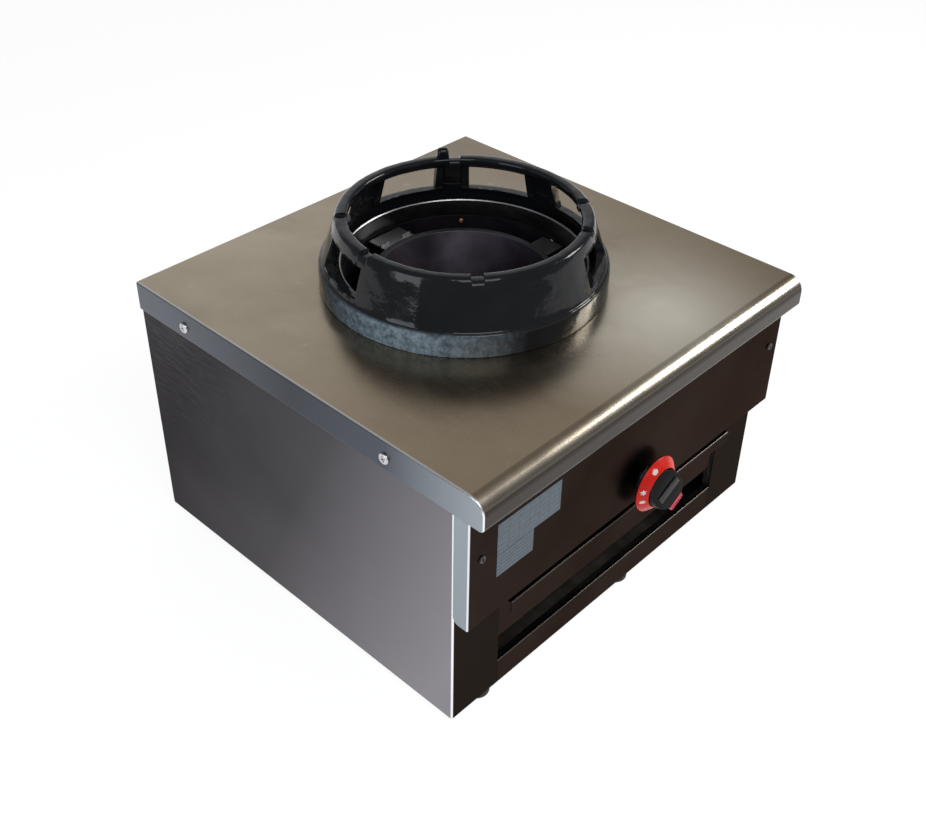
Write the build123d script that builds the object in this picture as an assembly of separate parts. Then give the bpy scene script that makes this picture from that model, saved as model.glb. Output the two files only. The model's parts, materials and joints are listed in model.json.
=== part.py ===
from build123d import *
import math
import os

# Countertop wok range with one burner, in millimetres.
# X is across the front, the front looks towards -Y, Z is up.
# The origin is on the floor under the middle of the whole object's box.
# A "depth" is measured forwards from the worktop's back edge, a "drop" downwards
# from the worktop's upper face, and a "rise" upwards from it.

# ---------------------------------------------------------------- driving sizes
# Worktop
TOP_WIDTH = 600.0
TOP_DEPTH = 593.0
TOP_SHEET = 1.5
FLANGE_HEIGHT = 41.0
NOSE_RADIUS = 20.0
CURL_RADIUS = 6.0
EDGE_RADIUS = 2.5
BACK_CORNER_RADIUS = 3.0

# Body
BODY_HEIGHT = 365.0
BODY_SHEET = 1.2
FOOT_HEIGHT = 14.0
FOOT_RADIUS = 16.0
BACK_INSET = 3.0
BACK_SHEET = 1.0
PANEL_BEHIND_NOSE = 20.5
PANEL_PROUD = 21.8
PANEL_DROP_TOP = 6.0
PANEL_DROP_BOTTOM = 199.5
PANEL_CORNER_RADIUS = 9.0
POST_WIDTH = 78.0
POST_RETURN = 12.0
RAIL_HEIGHT = 38.5
RAIL_RETURN = 10.0
RAIL_TAB = 18.0
RAIL_BASE_RETURN = 40.0
SIDE_RETURN = 20.0
BEND_RADIUS = 2.0

# Burner place
BURNER_BEHIND_CENTRE = 16.5
COLLAR_RADIUS = 154.3
COLLAR_SHEET = 1.5
COLLAR_RISE = 26.0
COLLAR_HEM = 5.5
COLLAR_SKIRT = 14.0
WELL_SHEET = 1.2
WELL_RISE = 2.0
WELL_DROP = 40.0
RIVET_DROP = 5.0
RIVET_COUNT = 7
RIVET_FIRST_ANGLE = -6.4
RIVET_RADIUS = 1.9
RIVET_HEAD_RADIUS = 3.0
RIVET_HEAD_HEIGHT = 1.8

# Cast ring
RING_GAP = 15.6
RING_BASE_WALL = 10.0
RING_BAND_HEIGHT = 30.0
RING_LEDGE = 4.5
RING_HEIGHT = 92.0
RING_RIM_RADIUS = 158.5
RING_RIM_WIDTH = 15.0
RING_BEAD_HEIGHT = 12.0
RING_WALL = 8.5
WINDOW_COUNT = 6
WINDOW_PITCH = 45.0
WINDOW_FIRST_ANGLE = -63.0
WINDOW_ANGLE = 28.4
WINDOW_LOW = 38.0
WINDOW_HIGH = 75.5
WINDOW_CORNER = 3.5
FRAME_ANGLE = 3.2
FRAME_DEPTH = 3.0
FRAME_WIDTH = 3.0
NOTCH_ANGLES = (-131.0, -62.8, -35.4, 48.7, 139.2, 175.7)
NOTCH_WIDTH = 15.0
NOTCH_DEPTH = 4.5
LUG_ANGLE = 54.6
LUG_WIDTH = 16.0
LUG_HEIGHT = 13.0
LUG_THICKNESS = 9.0

# Bowl, its brackets and the shelf
BOWL_RIM_RADIUS = 118.0
BOWL_MOUTH_RADIUS = 112.0
BOWL_RIM_RISE = 1.0
BOWL_SHEET = 2.0
BOWL_THROAT_RADIUS = 68.0
BOWL_DROP = 80.0
BRACKET_SHEET = 2.0
BRACKET_INNER = 112.6
BACK_BRACKET_WIDTH = 54.0
BACK_BRACKET_REACH = 148.0
EAR_REACH = 124.0
EAR_HEIGHT = 3.0
EAR_INNER = 12.0
SIDE_BRACKET_NEAR = 8.0
SIDE_BRACKET_WIDTH = 35.0
SIDE_BRACKET_REACH = 145.0
BRACKET_FOOT = 24.0
SHELF_DROP = 100.0
SHELF_SHEET = 1.5
SHELF_BEHIND_PANEL = 102.5
SHELF_BACK_MARGIN = 18.0
SHELF_FLANGE = 22.0
SHELF_SLOTS = 8
SLOT_INNER = 78.0
SLOT_OUTER = 106.0
SLOT_WIDTH = 14.0
TIP_HOLE_RADIUS = 6.6

# Burner
HEAD_RADIUS = 38.0
HEAD_FLANGE_RADIUS = 49.0
HEAD_FLANGE = 8.0
HEAD_HEIGHT = 38.0
HEAD_WALL = 5.0
CAP_HEIGHT = 12.0
CAP_SLOTS = 16
CAP_SLOT_WIDTH = 3.0
NECK_RADIUS = 22.0
NECK_BORE = 18.0
BURNER_BOLT_CIRCLE = 43.0
BURNER_BOLT_ANGLE = 30.0
BURNER_BOLTS = 3
BURNER_BOLT_RADIUS = 2.5
MIXER_DROP = 140.0
MOUTH_BEHIND_PANEL = 127.5
MOUTH_RADIUS = 30.0
MOUTH_LENGTH = 18.0
MOUTH_PLATE = 3.0
SHUTTER_THICKNESS = 2.0
AIR_HOLES = 3
AIR_HOLE_INNER = 13.0
AIR_HOLE_OUTER = 24.0
AIR_HOLE_ANGLE = 70.0
MIXER_FLANGE = 4.0
INJECTOR_RADIUS = 7.0
INJECTOR_REACH = 4.0
JET_BORE = 0.9
GAS_BORE = 3.0
ELBOW_SIZE = 22.0
ELBOW_BOSS = 5.0
TIP_OFFSET_X = 52.0
TIP_OFFSET_Y = -28.0
TIP_LENGTH = 42.0
TIP_TAIL = 22.0
TIP_COLLAR = 2.5

# Drip tray
TRAY_SHEET = 1.2
TRAY_RECESS = 2.9
TRAY_SIDE_GAP = 1.8
TRAY_BEFORE_BACK = 56.8
TRAY_DROP_BOTTOM = 288.0
TRAY_WALL = 45.0
TRAY_DROP_TOP = 217.0
TRAY_LIP = 19.2
TRAY_LIP_TURN = 16.0
RUNNER_WIDTH = 20.0
RUNNER_HEIGHT = 22.0
TRAY_TRAVEL = 420.0

# Gas valve and knob
KNOB_X = 18.0
KNOB_DROP = 172.0
DIAL_RADIUS = 38.0
DIAL_BACK = 13.5
DIAL_RIM = 2.5
DIAL_RISE = 10.0
DIAL_INNER = 26.3
DIAL_WALL = 2.5
GRIP_RADIUS = 26.2
GRIP_FRONT_RADIUS = 23.5
GRIP_FRONT = 39.0
GRIP_WALL = 3.0
GRIP_DISH = 1.2
GRIP_LEDGE = 1.6
HUB_RADIUS = 8.0
POINTER_ANGLE = -64.0
POINTER_INNER = 18.0
POINTER_OUTER = 28.5
POINTER_WIDTH = 25.0
POINTER_BACK = 27.0
POINTER_FRONT = 42.0
STEM_RADIUS = 4.0
STEM_COLLAR_RADIUS = 6.6
STEM_COLLAR = 2.0
PUSH_TRAVEL = 4.0
VALVE_RADIUS = 17.0
VALVE_FRONT_GAP = 14.0
VALVE_LENGTH = 52.0
VALVE_NECK_RADIUS = 10.0
VALVE_NECK_FRONT = 8.0
VALVE_NECK_BORE = 7.4
VALVE_WALL = 2.0
NECK_WALL = 3.0
INLET_BOSS_BACK = 17.0
INLET_BOSS_RADIUS = 11.0
FEED_BOSS_BACK = 26.0
FEED_BOSS_RADIUS = 8.0
PILOT_BOSS_BACK = 40.0
PILOT_BOSS_RADIUS = 5.0
LEAD_BOSS_RADIUS = 9.0
LEAD_BOSS = 8.0
BOSS_REACH = 18.0
PLUG_PORT = 3.5
STEM_COVER = 6.0
PLUG_RADIUS = 10.0
PLUG_LENGTH = 34.0
PLUG_SOCKET = 14.0
PIN_RADIUS = 1.5
SPRING_WIRE = 1.0
SPRING_TURNS = 4.0
NUT_RADIUS = 15.0
NUT_HEIGHT = 6.0

# Gas pipes
PIPE_RADIUS = 8.0
PIPE_WALL = 1.0
PIPE_SIDE_GAP = 43.2
PIPE_BEND = 30.0
INLET_RADIUS = 10.48
INLET_BEHIND = 25.0
INLET_HEX_RADIUS = 15.0
INLET_HEX = 6.0
INLET_INSIDE = 24.0
INLET_SOCKET = 13.0
LOCKNUT_HEIGHT = 6.0
FEED_RADIUS = 4.0
FEED_BEND = 9.0
PILOT_PIPE_RADIUS = 2.0
LEAD_RADIUS = 1.5
CLIP_WIDTH = 14.0
CLIP_SHEET = 1.5
CLIP_DEPTHS = (140.0, 420.0)

# Labels and screws
LABEL_SHEET = 0.4
LABEL_FROM_SIDE = 44.7
LABEL_WIDTH = 104.5
LABEL_DROP = 71.0
LABEL_HEIGHT = 44.0
SMALL_LABEL_WIDTH = 60.0
SMALL_LABEL_HEIGHT = 32.0
LABEL_GAP = 0.4
SCREW_RADIUS = 2.4
SCREW_HEAD_RADIUS = 7.2
SCREW_HEAD_HEIGHT = 2.8
SIDE_SCREW_DEPTHS = (96.0, 450.0)
SIDE_SCREW_DROP = 23.6
BACK_SCREW_INSET = 80.0
PANEL_SCREW_INSET = 20.5
PANEL_SCREW_DROP = 103.5
SMALL_HEAD_RADIUS = 4.8
SMALL_HEAD_HEIGHT = 2.6
BACK_PANEL_SCREW_DROPS = (70.0, 200.0, 335.0)
CROSS_WIDTH = 1.3
FOOT_INSET = 62.2
FOOT_FROM_FRONT = 18.0
RIGHT_FOOT_FROM_FRONT = 60.0
MIDDLE_FOOT_X = 36.0
FOOT_FROM_BACK = 33.7
LOUVRE_ROWS = 5
LOUVRE_PITCH = 14.0
LOUVRE_DROP = 90.0
LOUVRE_LENGTH = 70.0
LOUVRE_HEIGHT = 5.0
LOUVRE_SPACING = 110.0
BASE_EDGE = 18.0
BASE_SLOT_LENGTH = 90.0
BASE_SLOT_WIDTH = 12.0
BASE_SLOT_SPACING = 160.0
BASE_SLOT_FROM_CENTRE = 100.0
SMALL_NUT_RADIUS = 4.6
SMALL_NUT_HEIGHT = 3.2
LARGE_NUT_RADIUS = 5.5
LARGE_NUT_HEIGHT = 3.6
CLIP_PAD = 14.0

# Clearances
LAP_GAP = 0.3
SEAM_GAP = 0.4
HOLE_GAP = 0.3
RUN_GAP = 0.05
REST_GAP = 0.2
SMALL_GAP = 0.1

# ---------------------------------------------------------------- derived places
FRONT_REACH = POINTER_FRONT - PANEL_BEHIND_NOSE
TOTAL_DEPTH = TOP_DEPTH + FRONT_REACH + INLET_BEHIND
BACK_EDGE = TOTAL_DEPTH / 2 - INLET_BEHIND
TOP_LEVEL = FOOT_HEIGHT + BODY_HEIGHT


def at_depth(depth):
    """Y of a place that lies this far in front of the worktop's back edge."""
    return BACK_EDGE - depth


def at_drop(drop):
    """Z of a place that lies this far below the worktop's upper face."""
    return TOP_LEVEL - drop


def at_rise(rise):
    """Z of a place that lies this far above the worktop's upper face."""
    return TOP_LEVEL + rise


NOSE_Y = at_depth(TOP_DEPTH)
PANEL_Y = NOSE_Y + PANEL_BEHIND_NOSE
POST_Y = PANEL_Y + PANEL_PROUD
BODY_BACK_Y = at_depth(BACK_INSET)
BODY_HALF = TOP_WIDTH / 2 - TOP_SHEET - LAP_GAP
BODY_INNER = BODY_HALF - BODY_SHEET
POST_INNER = BODY_HALF - POST_WIDTH
PIPE_X = BODY_HALF - PIPE_SIDE_GAP
BASE_RETURN = BODY_HALF - POST_INNER
BODY_BOTTOM = FOOT_HEIGHT
RAIL_TOP = BODY_BOTTOM + RAIL_HEIGHT
BURNER_Y = at_depth(TOP_DEPTH / 2 - BURNER_BEHIND_CENTRE)
COLLAR_OUTER = COLLAR_RADIUS + COLLAR_SHEET
COLLAR_HEM_RADIUS = COLLAR_OUTER + COLLAR_SHEET + SMALL_GAP
RING_BASE_RADIUS = COLLAR_HEM_RADIUS + RING_GAP + RING_BASE_WALL
TOP_HOLE_RADIUS = COLLAR_OUTER + SMALL_GAP
WELL_OUTER = COLLAR_RADIUS - SMALL_GAP
WELL_INNER = WELL_OUTER - WELL_SHEET
SHELF_Z = at_drop(SHELF_DROP)
KNOB_Z = at_drop(KNOB_DROP)
TRAY_Y = POST_Y + TRAY_RECESS
TRAY_HALF = POST_INNER - TRAY_SIDE_GAP
TRAY_BACK_Y = BODY_BACK_Y - TRAY_BEFORE_BACK
MIXER_Z = at_drop(MIXER_DROP)
MOUTH_Y = PANEL_Y + MOUTH_BEHIND_PANEL
SHELF_FRONT_Y = PANEL_Y + SHELF_BEHIND_PANEL
SHELF_BACK_Y = BURNER_Y + BACK_BRACKET_REACH + BRACKET_FOOT + SHELF_BACK_MARGIN
VALVE_FRONT_Y = PANEL_Y + VALVE_FRONT_GAP
VALVE_BACK_Y = VALVE_FRONT_Y + VALVE_LENGTH
INLET_BOSS_Y = VALVE_FRONT_Y + INLET_BOSS_BACK
FEED_BOSS_Y = VALVE_FRONT_Y + FEED_BOSS_BACK
PILOT_BOSS_Y = VALVE_FRONT_Y + PILOT_BOSS_BACK
PLUG_SEAT_Y = VALVE_FRONT_Y + VALVE_WALL
PLUG_FRONT_Y = PLUG_SEAT_Y + REST_GAP
NECK_FRONT_Y = PANEL_Y - VALVE_NECK_FRONT
STEM_FRONT_Y = PANEL_Y - (GRIP_FRONT - STEM_COVER)
STEM_BACK_Y = PLUG_FRONT_Y + PLUG_SOCKET - PUSH_TRAVEL - 1
COLLAR_BACK_Y = NECK_FRONT_Y + NECK_WALL + SMALL_GAP + STEM_COLLAR
INJECTOR_BACK = MOUTH_Y + MOUTH_PLATE + INJECTOR_REACH
ELBOW_BACK_Y = MOUTH_Y - REST_GAP - SHUTTER_THICKNESS - REST_GAP
DIAL_CREST = DIAL_BACK + DIAL_RIM + DIAL_RISE
UP = (0, 0, 1)
FORWARDS = (0, -1, 0)


# ---------------------------------------------------------------- helpers
def block(x, y, z):
    """Box between two X, two Y and two Z values."""
    size = [abs(pair[1] - pair[0]) for pair in (x, y, z)]
    return Pos(min(x), min(y), min(z)) * Box(*size, align=(Align.MIN, Align.MIN, Align.MIN))


def rod(start, direction, radius, length):
    """Round bar that starts at a point and runs along a direction."""
    place = Plane(origin=start, z_dir=direction)
    return place * Cylinder(radius, length, align=(Align.CENTER, Align.CENTER, Align.MIN))


def tube(start, direction, radius, bore, length):
    """Round bar with a straight bore."""
    return rod(start, direction, radius, length) - rod(start, direction, bore, length)


def hexagon(start, direction, radius, length):
    """Six-sided bar that starts at a point and runs along a direction."""
    face = Plane(origin=start, z_dir=direction) * RegularPolygon(radius, 6)
    return extrude(face, length, dir=Vector(*direction))


def turned(points, centre, angle=360.0, start_angle=0.0):
    """Solid of revolution about a vertical axis, from points of radius and height."""
    wire = Polyline(*[(radius, 0, height) for radius, height in points], close=True)
    solid = revolve(make_face(wire), Axis.Z, angle)
    return Pos(*centre) * (Rot(0, 0, start_angle) * solid)


def swept(points, bends, radius, bore=0.0):
    """Tube along straight runs that are joined by arcs."""
    path = FilletPolyline(*points, radius=bends)
    start = Plane(origin=points[0], z_dir=Vector(*points[1]) - Vector(*points[0]))
    solid = sweep(start * Circle(radius), path)
    if bore:
        solid -= sweep(start * Circle(bore), path)
    return solid


def around(count, first_angle, centre, make):
    """Copies of a piece that is made at angle 0, spread evenly about a vertical axis."""
    pitch = 360.0 / count
    return [Pos(*centre) * (Rot(0, 0, first_angle + pitch * turn) * make()) for turn in range(count)]


def cross_screw(seat, direction, head_radius, head_height, shank_radius, shank_length):
    """Screw with a low domed head and a cross recess. The direction points out of the head."""
    inwards = tuple(-value for value in direction)
    head = rod(seat, direction, head_radius, head_height)
    top = head.faces().sort_by(Axis(seat, direction))[-1]
    head = fillet(top.edges(), head_height * 0.7)
    shank = rod(seat, inwards, shank_radius, shank_length)
    place = Plane(origin=seat, z_dir=direction)
    slot = Box(head_radius * 1.1, CROSS_WIDTH, head_height, align=(Align.CENTER, Align.CENTER, Align.MIN))
    recess = Pos(0, 0, head_height * 0.4) * (slot + Rot(0, 0, 90) * slot)
    return head + shank - place * (Rot(0, 0, 20) * recess)


def holes_for(screw_places, direction, radius, length):
    """Round cutters centred on each screw's seat, running both ways along its axis."""
    return [
        rod(Vector(*place) - Vector(*direction) * length / 2, direction, radius, length)
        for place in screw_places
    ]


# ---------------------------------------------------------------- screw places
SIDE_SCREWS = [
    (TOP_WIDTH / 2, at_depth(depth), at_drop(SIDE_SCREW_DROP)) for depth in SIDE_SCREW_DEPTHS
]
LEFT_SCREWS = [(-x, y, z) for x, y, z in SIDE_SCREWS]
BACK_SCREW_X = TOP_WIDTH / 2 - BACK_SCREW_INSET
BACK_FLANGE_SCREWS = [(x, BACK_EDGE, at_drop(SIDE_SCREW_DROP)) for x in (-BACK_SCREW_X, BACK_SCREW_X)]
PANEL_SCREW_X = BODY_HALF - PANEL_SCREW_INSET
PANEL_SCREWS = [(x, PANEL_Y, at_drop(PANEL_SCREW_DROP)) for x in (-PANEL_SCREW_X, PANEL_SCREW_X)]
BACK_PANEL_X = BODY_HALF - SIDE_RETURN / 2
BACK_PANEL_SCREWS = [
    (side * BACK_PANEL_X, BODY_BACK_Y + BACK_SHEET, at_drop(drop))
    for side in (-1, 1) for drop in BACK_PANEL_SCREW_DROPS
]
FOOT_X = BODY_HALF - FOOT_INSET
FRONT_FOOT_Y = POST_Y + FOOT_FROM_FRONT
REAR_FOOT_Y = BODY_BACK_Y - FOOT_FROM_BACK
FOOT_PLACES = {
    "front_left": (-FOOT_X, FRONT_FOOT_Y, 0.0),
    "front_middle": (MIDDLE_FOOT_X, FRONT_FOOT_Y, 0.0),
    "front_right": (FOOT_X, POST_Y + RIGHT_FOOT_FROM_FRONT, 0.0),
    "rear_left": (-FOOT_X, REAR_FOOT_Y, 0.0),
    "rear_right": (FOOT_X, REAR_FOOT_Y, 0.0),
}
SCREW_HOLE = SCREW_RADIUS + HOLE_GAP


# ---------------------------------------------------------------- worktop
def worktop_outline(inset, floor):
    """Side outline of the worktop's sheet, moved inwards by the sheet's thickness."""
    top = TOP_LEVEL - inset
    back = BACK_EDGE - inset
    nose = NOSE_Y + inset
    nose_radius = NOSE_RADIUS - inset
    lip = at_drop(FLANGE_HEIGHT) + inset
    curl = CURL_RADIUS - inset
    return_end = PANEL_Y - LAP_GAP
    slant = 1 - math.sin(math.pi / 4)
    lines = [
        Line((0, back, floor), (0, back, top)),
        Line((0, back, top), (0, nose + nose_radius, top)),
        ThreePointArc(
            (0, nose + nose_radius, top),
            (0, nose + nose_radius * slant, top - nose_radius * slant),
            (0, nose, top - nose_radius),
        ),
        Line((0, nose, top - nose_radius), (0, nose, lip + curl)),
        ThreePointArc(
            (0, nose, lip + curl),
            (0, nose + curl * slant, lip + curl * slant),
            (0, nose + curl, lip),
        ),
    ]
    if inset:
        lines += [
            Line((0, nose + curl, lip), (0, return_end, lip)),
            Line((0, return_end, lip), (0, return_end, floor)),
            Line((0, return_end, floor), (0, back, floor)),
        ]
    else:
        lines += [Line((0, nose + curl, lip), (0, back, lip))]
        lines[0] = Line((0, back, lip), (0, back, top))
    return make_face(Wire(lines))


def make_worktop():
    """Folded sheet: rolled nose, side and back flanges, and a hole with a turned-down lip."""
    half = TOP_WIDTH / 2
    outside = Pos(-half, 0, 0) * extrude(worktop_outline(0, 0), TOP_WIDTH, dir=(1, 0, 0))
    edges = outside.edges().filter_by(lambda edge: abs(abs(edge.center().X) - half) < 0.01)
    edges = edges.filter_by(lambda edge: edge.center().Z > at_drop(NOSE_RADIUS) - 0.01)
    edges = edges.filter_by(lambda edge: edge.center().Y < BACK_EDGE - 0.01)
    outside = fillet(edges, EDGE_RADIUS)
    inner_width = TOP_WIDTH - 2 * TOP_SHEET
    below = at_drop(FLANGE_HEIGHT) - 10
    cavity = extrude(worktop_outline(TOP_SHEET, below), inner_width, dir=(1, 0, 0))
    sheet = outside - Pos(-inner_width / 2, 0, 0) * cavity
    lip_bottom = (0, BURNER_Y, at_drop(COLLAR_SKIRT))
    sheet += rod(lip_bottom, UP, TOP_HOLE_RADIUS + TOP_SHEET, COLLAR_SKIRT - TOP_SHEET / 2)
    sheet -= rod(lip_bottom, UP, TOP_HOLE_RADIUS, COLLAR_SKIRT + 5)
    sheet -= holes_for(SIDE_SCREWS + LEFT_SCREWS, (1, 0, 0), SCREW_HOLE, 12)
    sheet -= holes_for(BACK_FLANGE_SCREWS, (0, 1, 0), SCREW_HOLE, 12)
    sheet -= rivet_holes()
    return sheet


def rivet_holes():
    """Cutters for the rivets that join the well wall, the collar and the worktop's lip."""
    centre = (0, BURNER_Y, at_drop(RIVET_DROP))
    radius = RIVET_RADIUS + SMALL_GAP
    return around(RIVET_COUNT, RIVET_FIRST_ANGLE, centre,
                  lambda: rod((WELL_INNER - 4, 0, 0), (1, 0, 0), radius, 14))


# ---------------------------------------------------------------- body sheets
def make_side_panel():
    """Left side panel with its front post and its rear, top and base returns."""
    top = at_drop(TOP_SHEET)
    outer = -BODY_HALF
    inner = outer + BODY_SHEET
    wall = block((outer, inner), (POST_Y, BODY_BACK_Y), (BODY_BOTTOM, top))
    post_top = at_drop(PANEL_DROP_TOP)
    post = block((outer, -POST_INNER), (POST_Y, POST_Y + BODY_SHEET), (BODY_BOTTOM, post_top))
    post_return = block((-POST_INNER - BODY_SHEET, -POST_INNER), (POST_Y, POST_Y + POST_RETURN),
                        (RAIL_TOP, at_drop(PANEL_DROP_BOTTOM)))
    rear = block((outer, outer + SIDE_RETURN), (BODY_BACK_Y - BODY_SHEET, BODY_BACK_Y),
                 (BODY_BOTTOM, at_drop(FLANGE_HEIGHT)))
    top_return = block((outer, outer + SIDE_RETURN), (POST_Y + BODY_SHEET, BODY_BACK_Y),
                       (top - BODY_SHEET, top))
    base_return = block((outer, outer + BASE_RETURN), (POST_Y, BODY_BACK_Y),
                        (BODY_BOTTOM, BODY_BOTTOM + BODY_SHEET))
    panel = wall + post + post_return + rear + top_return + base_return
    front_edges = panel.edges().filter_by(Axis.Z).filter_by(
        lambda edge: abs(edge.center().X - outer) < 0.01 and abs(edge.center().Y - POST_Y) < 0.01)
    panel = fillet(front_edges, BEND_RADIUS)
    panel -= holes_for(LEFT_SCREWS, (1, 0, 0), SCREW_HOLE, 16)
    panel -= holes_for(PANEL_SCREWS[:1], (0, 1, 0), SCREW_RADIUS + HOLE_GAP, 60)
    panel -= holes_for(BACK_PANEL_SCREWS[:3], (0, 1, 0), SCREW_HOLE, 12)
    return panel


def make_back_panel():
    """Flat rear cover on the side panels' returns, with louvres and the gas inlet hole."""
    half = BODY_HALF - LAP_GAP
    low = BODY_BOTTOM + 4
    high = at_drop(PANEL_DROP_TOP + SIDE_RETURN)
    cover = block((-half, half), (BODY_BACK_Y, BODY_BACK_Y + BACK_SHEET), (low, high))
    cover -= holes_for(BACK_PANEL_SCREWS, (0, 1, 0), SCREW_HOLE, 12)
    cover -= rod((PIPE_X, BODY_BACK_Y - 5, KNOB_Z), (0, 1, 0), INLET_RADIUS + HOLE_GAP, 12)
    slot = Box(LOUVRE_LENGTH, BACK_SHEET * 8, LOUVRE_HEIGHT)
    for row in range(LOUVRE_ROWS):
        for x in (-LOUVRE_SPACING, 0, LOUVRE_SPACING):
            cover -= Pos(x, BODY_BACK_Y, at_drop(LOUVRE_DROP + LOUVRE_PITCH * row)) * slot
    cover -= holes_for(BACK_FLANGE_SCREWS, (0, 1, 0), SCREW_HOLE, 20)
    return cover


def make_base_pan():
    """Bottom sheet that lies on the base returns, with an edge turned up all round."""
    half = BODY_INNER - LAP_GAP
    front = POST_Y + 2 * BODY_SHEET + LAP_GAP
    back = BODY_BACK_Y - BODY_SHEET - LAP_GAP
    low = BODY_BOTTOM + BODY_SHEET
    pan = block((-half, half), (front, back), (low, low + BASE_EDGE))
    pan -= block((-half + BODY_SHEET, half - BODY_SHEET), (front + BODY_SHEET, back - BODY_SHEET),
                 (low + BODY_SHEET, low + 2 * BASE_EDGE))
    pan -= holes_for(list(FOOT_PLACES.values()), UP, SCREW_HOLE, 80)
    middle = (front + back) / 2
    for x in (-BASE_SLOT_SPACING, 0, BASE_SLOT_SPACING):
        for side in (-1, 1):
            place = Pos(x, middle + side * BASE_SLOT_FROM_CENTRE, low)
            pan -= place * Box(BASE_SLOT_LENGTH, BASE_SLOT_WIDTH, 8 * BODY_SHEET)
    return pan


def make_bottom_rail():
    """Lower front rail between the posts, with a top return, a base return and end tabs."""
    half = POST_INNER - SEAM_GAP
    top = RAIL_TOP
    face = block((-half, half), (POST_Y, POST_Y + BODY_SHEET), (BODY_BOTTOM, top))
    top_return = block((-half, half), (POST_Y, POST_Y + RAIL_RETURN), (top - BODY_SHEET, top))
    base_return = block((-half, half), (POST_Y, POST_Y + RAIL_BASE_RETURN),
                        (BODY_BOTTOM, BODY_BOTTOM + BODY_SHEET))
    rail = face + top_return + base_return
    for side in (-1, 1):
        rail += block((side * (half - RAIL_TAB), side * (half + RAIL_TAB)),
                      (POST_Y + BODY_SHEET, POST_Y + 2 * BODY_SHEET),
                      (BODY_BOTTOM + 5, top - BODY_SHEET - 1))
    top_edge = rail.edges().filter_by(Axis.X).filter_by(
        lambda edge: abs(edge.center().Y - POST_Y) < 0.01 and abs(edge.center().Z - top) < 0.01)
    rail = fillet(top_edge, BODY_SHEET * 0.8)
    rail -= holes_for([FOOT_PLACES["front_middle"]], UP, SCREW_HOLE, 60)
    return rail


def make_control_panel():
    """Front panel: face, side returns down to the posts, top and bottom returns."""
    top = at_drop(PANEL_DROP_TOP)
    bottom = at_drop(PANEL_DROP_BOTTOM)
    outside = block((-BODY_HALF, BODY_HALF), (PANEL_Y, POST_Y), (bottom, top))
    front = outside.edges().filter_by(Axis.Z).filter_by(lambda edge: edge.center().Y < PANEL_Y + 0.01)
    outside = fillet(front, BEND_RADIUS)
    low_back = outside.edges().filter_by(Axis.X).filter_by(
        lambda edge: edge.center().Y > POST_Y - 0.01 and edge.center().Z < bottom + 0.01)
    outside = fillet(low_back, PANEL_CORNER_RADIUS)
    inside = block((-BODY_HALF + BODY_SHEET, BODY_HALF - BODY_SHEET), (PANEL_Y + BODY_SHEET, POST_Y + 5),
                   (bottom + BODY_SHEET, top - BODY_SHEET))
    panel = outside - inside
    panel -= rod((KNOB_X, PANEL_Y - 5, KNOB_Z), (0, 1, 0), VALVE_NECK_RADIUS + HOLE_GAP, 12)
    panel -= holes_for(PANEL_SCREWS, (0, 1, 0), SCREW_RADIUS + HOLE_GAP, 12)
    return panel


def make_label(width, height, drop):
    """Bare metal label plate stuck on the control panel."""
    left = -BODY_HALF + LABEL_FROM_SIDE
    plate = block((left, left + width), (PANEL_Y - LABEL_SHEET, PANEL_Y),
                  (at_drop(drop + height), at_drop(drop)))
    return fillet(plate.edges().filter_by(Axis.Y), 1.0)


# ---------------------------------------------------------------- burner place
def make_collar():
    """Raised hoop in the worktop's hole, with a hem folded outwards at its top."""
    outer = COLLAR_OUTER
    hem = COLLAR_HEM_RADIUS
    top = COLLAR_RISE
    points = [
        (COLLAR_RADIUS, -COLLAR_SKIRT), (outer, -COLLAR_SKIRT), (outer, top - COLLAR_HEM),
        (hem, top - COLLAR_HEM), (hem, top - 1.2), (hem - 0.9, top), (COLLAR_RADIUS + 0.9, top),
        (COLLAR_RADIUS, top - 1.2),
    ]
    hoop = turned(points, (0, BURNER_Y, TOP_LEVEL))
    return hoop - rivet_holes()


def make_well_wall():
    """Second, lower wall inside the collar; its upper edge makes a step."""
    wall = tube((0, BURNER_Y, at_drop(WELL_DROP)), UP, WELL_OUTER, WELL_INNER, WELL_DROP + WELL_RISE)
    return wall - rivet_holes()


def make_rivets():
    """Rivets through the well wall, the collar and the worktop's lip."""
    tail = TOP_HOLE_RADIUS + TOP_SHEET

    def rivet():
        shank = rod((WELL_INNER - 0.5, 0, 0), (1, 0, 0), RIVET_RADIUS, tail - WELL_INNER + 2.0)
        head = rod((WELL_INNER - RIVET_HEAD_HEIGHT, 0, 0), (1, 0, 0), RIVET_HEAD_RADIUS, RIVET_HEAD_HEIGHT)
        head = fillet(head.edges().sort_by(Axis.X)[0], RIVET_HEAD_HEIGHT * 0.7)
        back = rod((tail + 0.3, 0, 0), (1, 0, 0), RIVET_HEAD_RADIUS * 0.8, 1.2)
        head = head - rod((WELL_INNER - 0.35, 0, 0), (1, 0, 0), RIVET_HEAD_RADIUS * 2, 1)
        return shank + head + back

    centre = (0, BURNER_Y, at_drop(RIVET_DROP))
    return Compound(children=around(RIVET_COUNT, RIVET_FIRST_ANGLE, centre, rivet))


def ring_outer_radius(height):
    """Outer radius of the ring's conical wall at a height above the worktop."""
    share = (height - RING_BAND_HEIGHT) / (RING_HEIGHT - RING_BAND_HEIGHT)
    foot = RING_BASE_RADIUS - RING_LEDGE
    return foot + (RING_RIM_RADIUS - foot) * share


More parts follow.
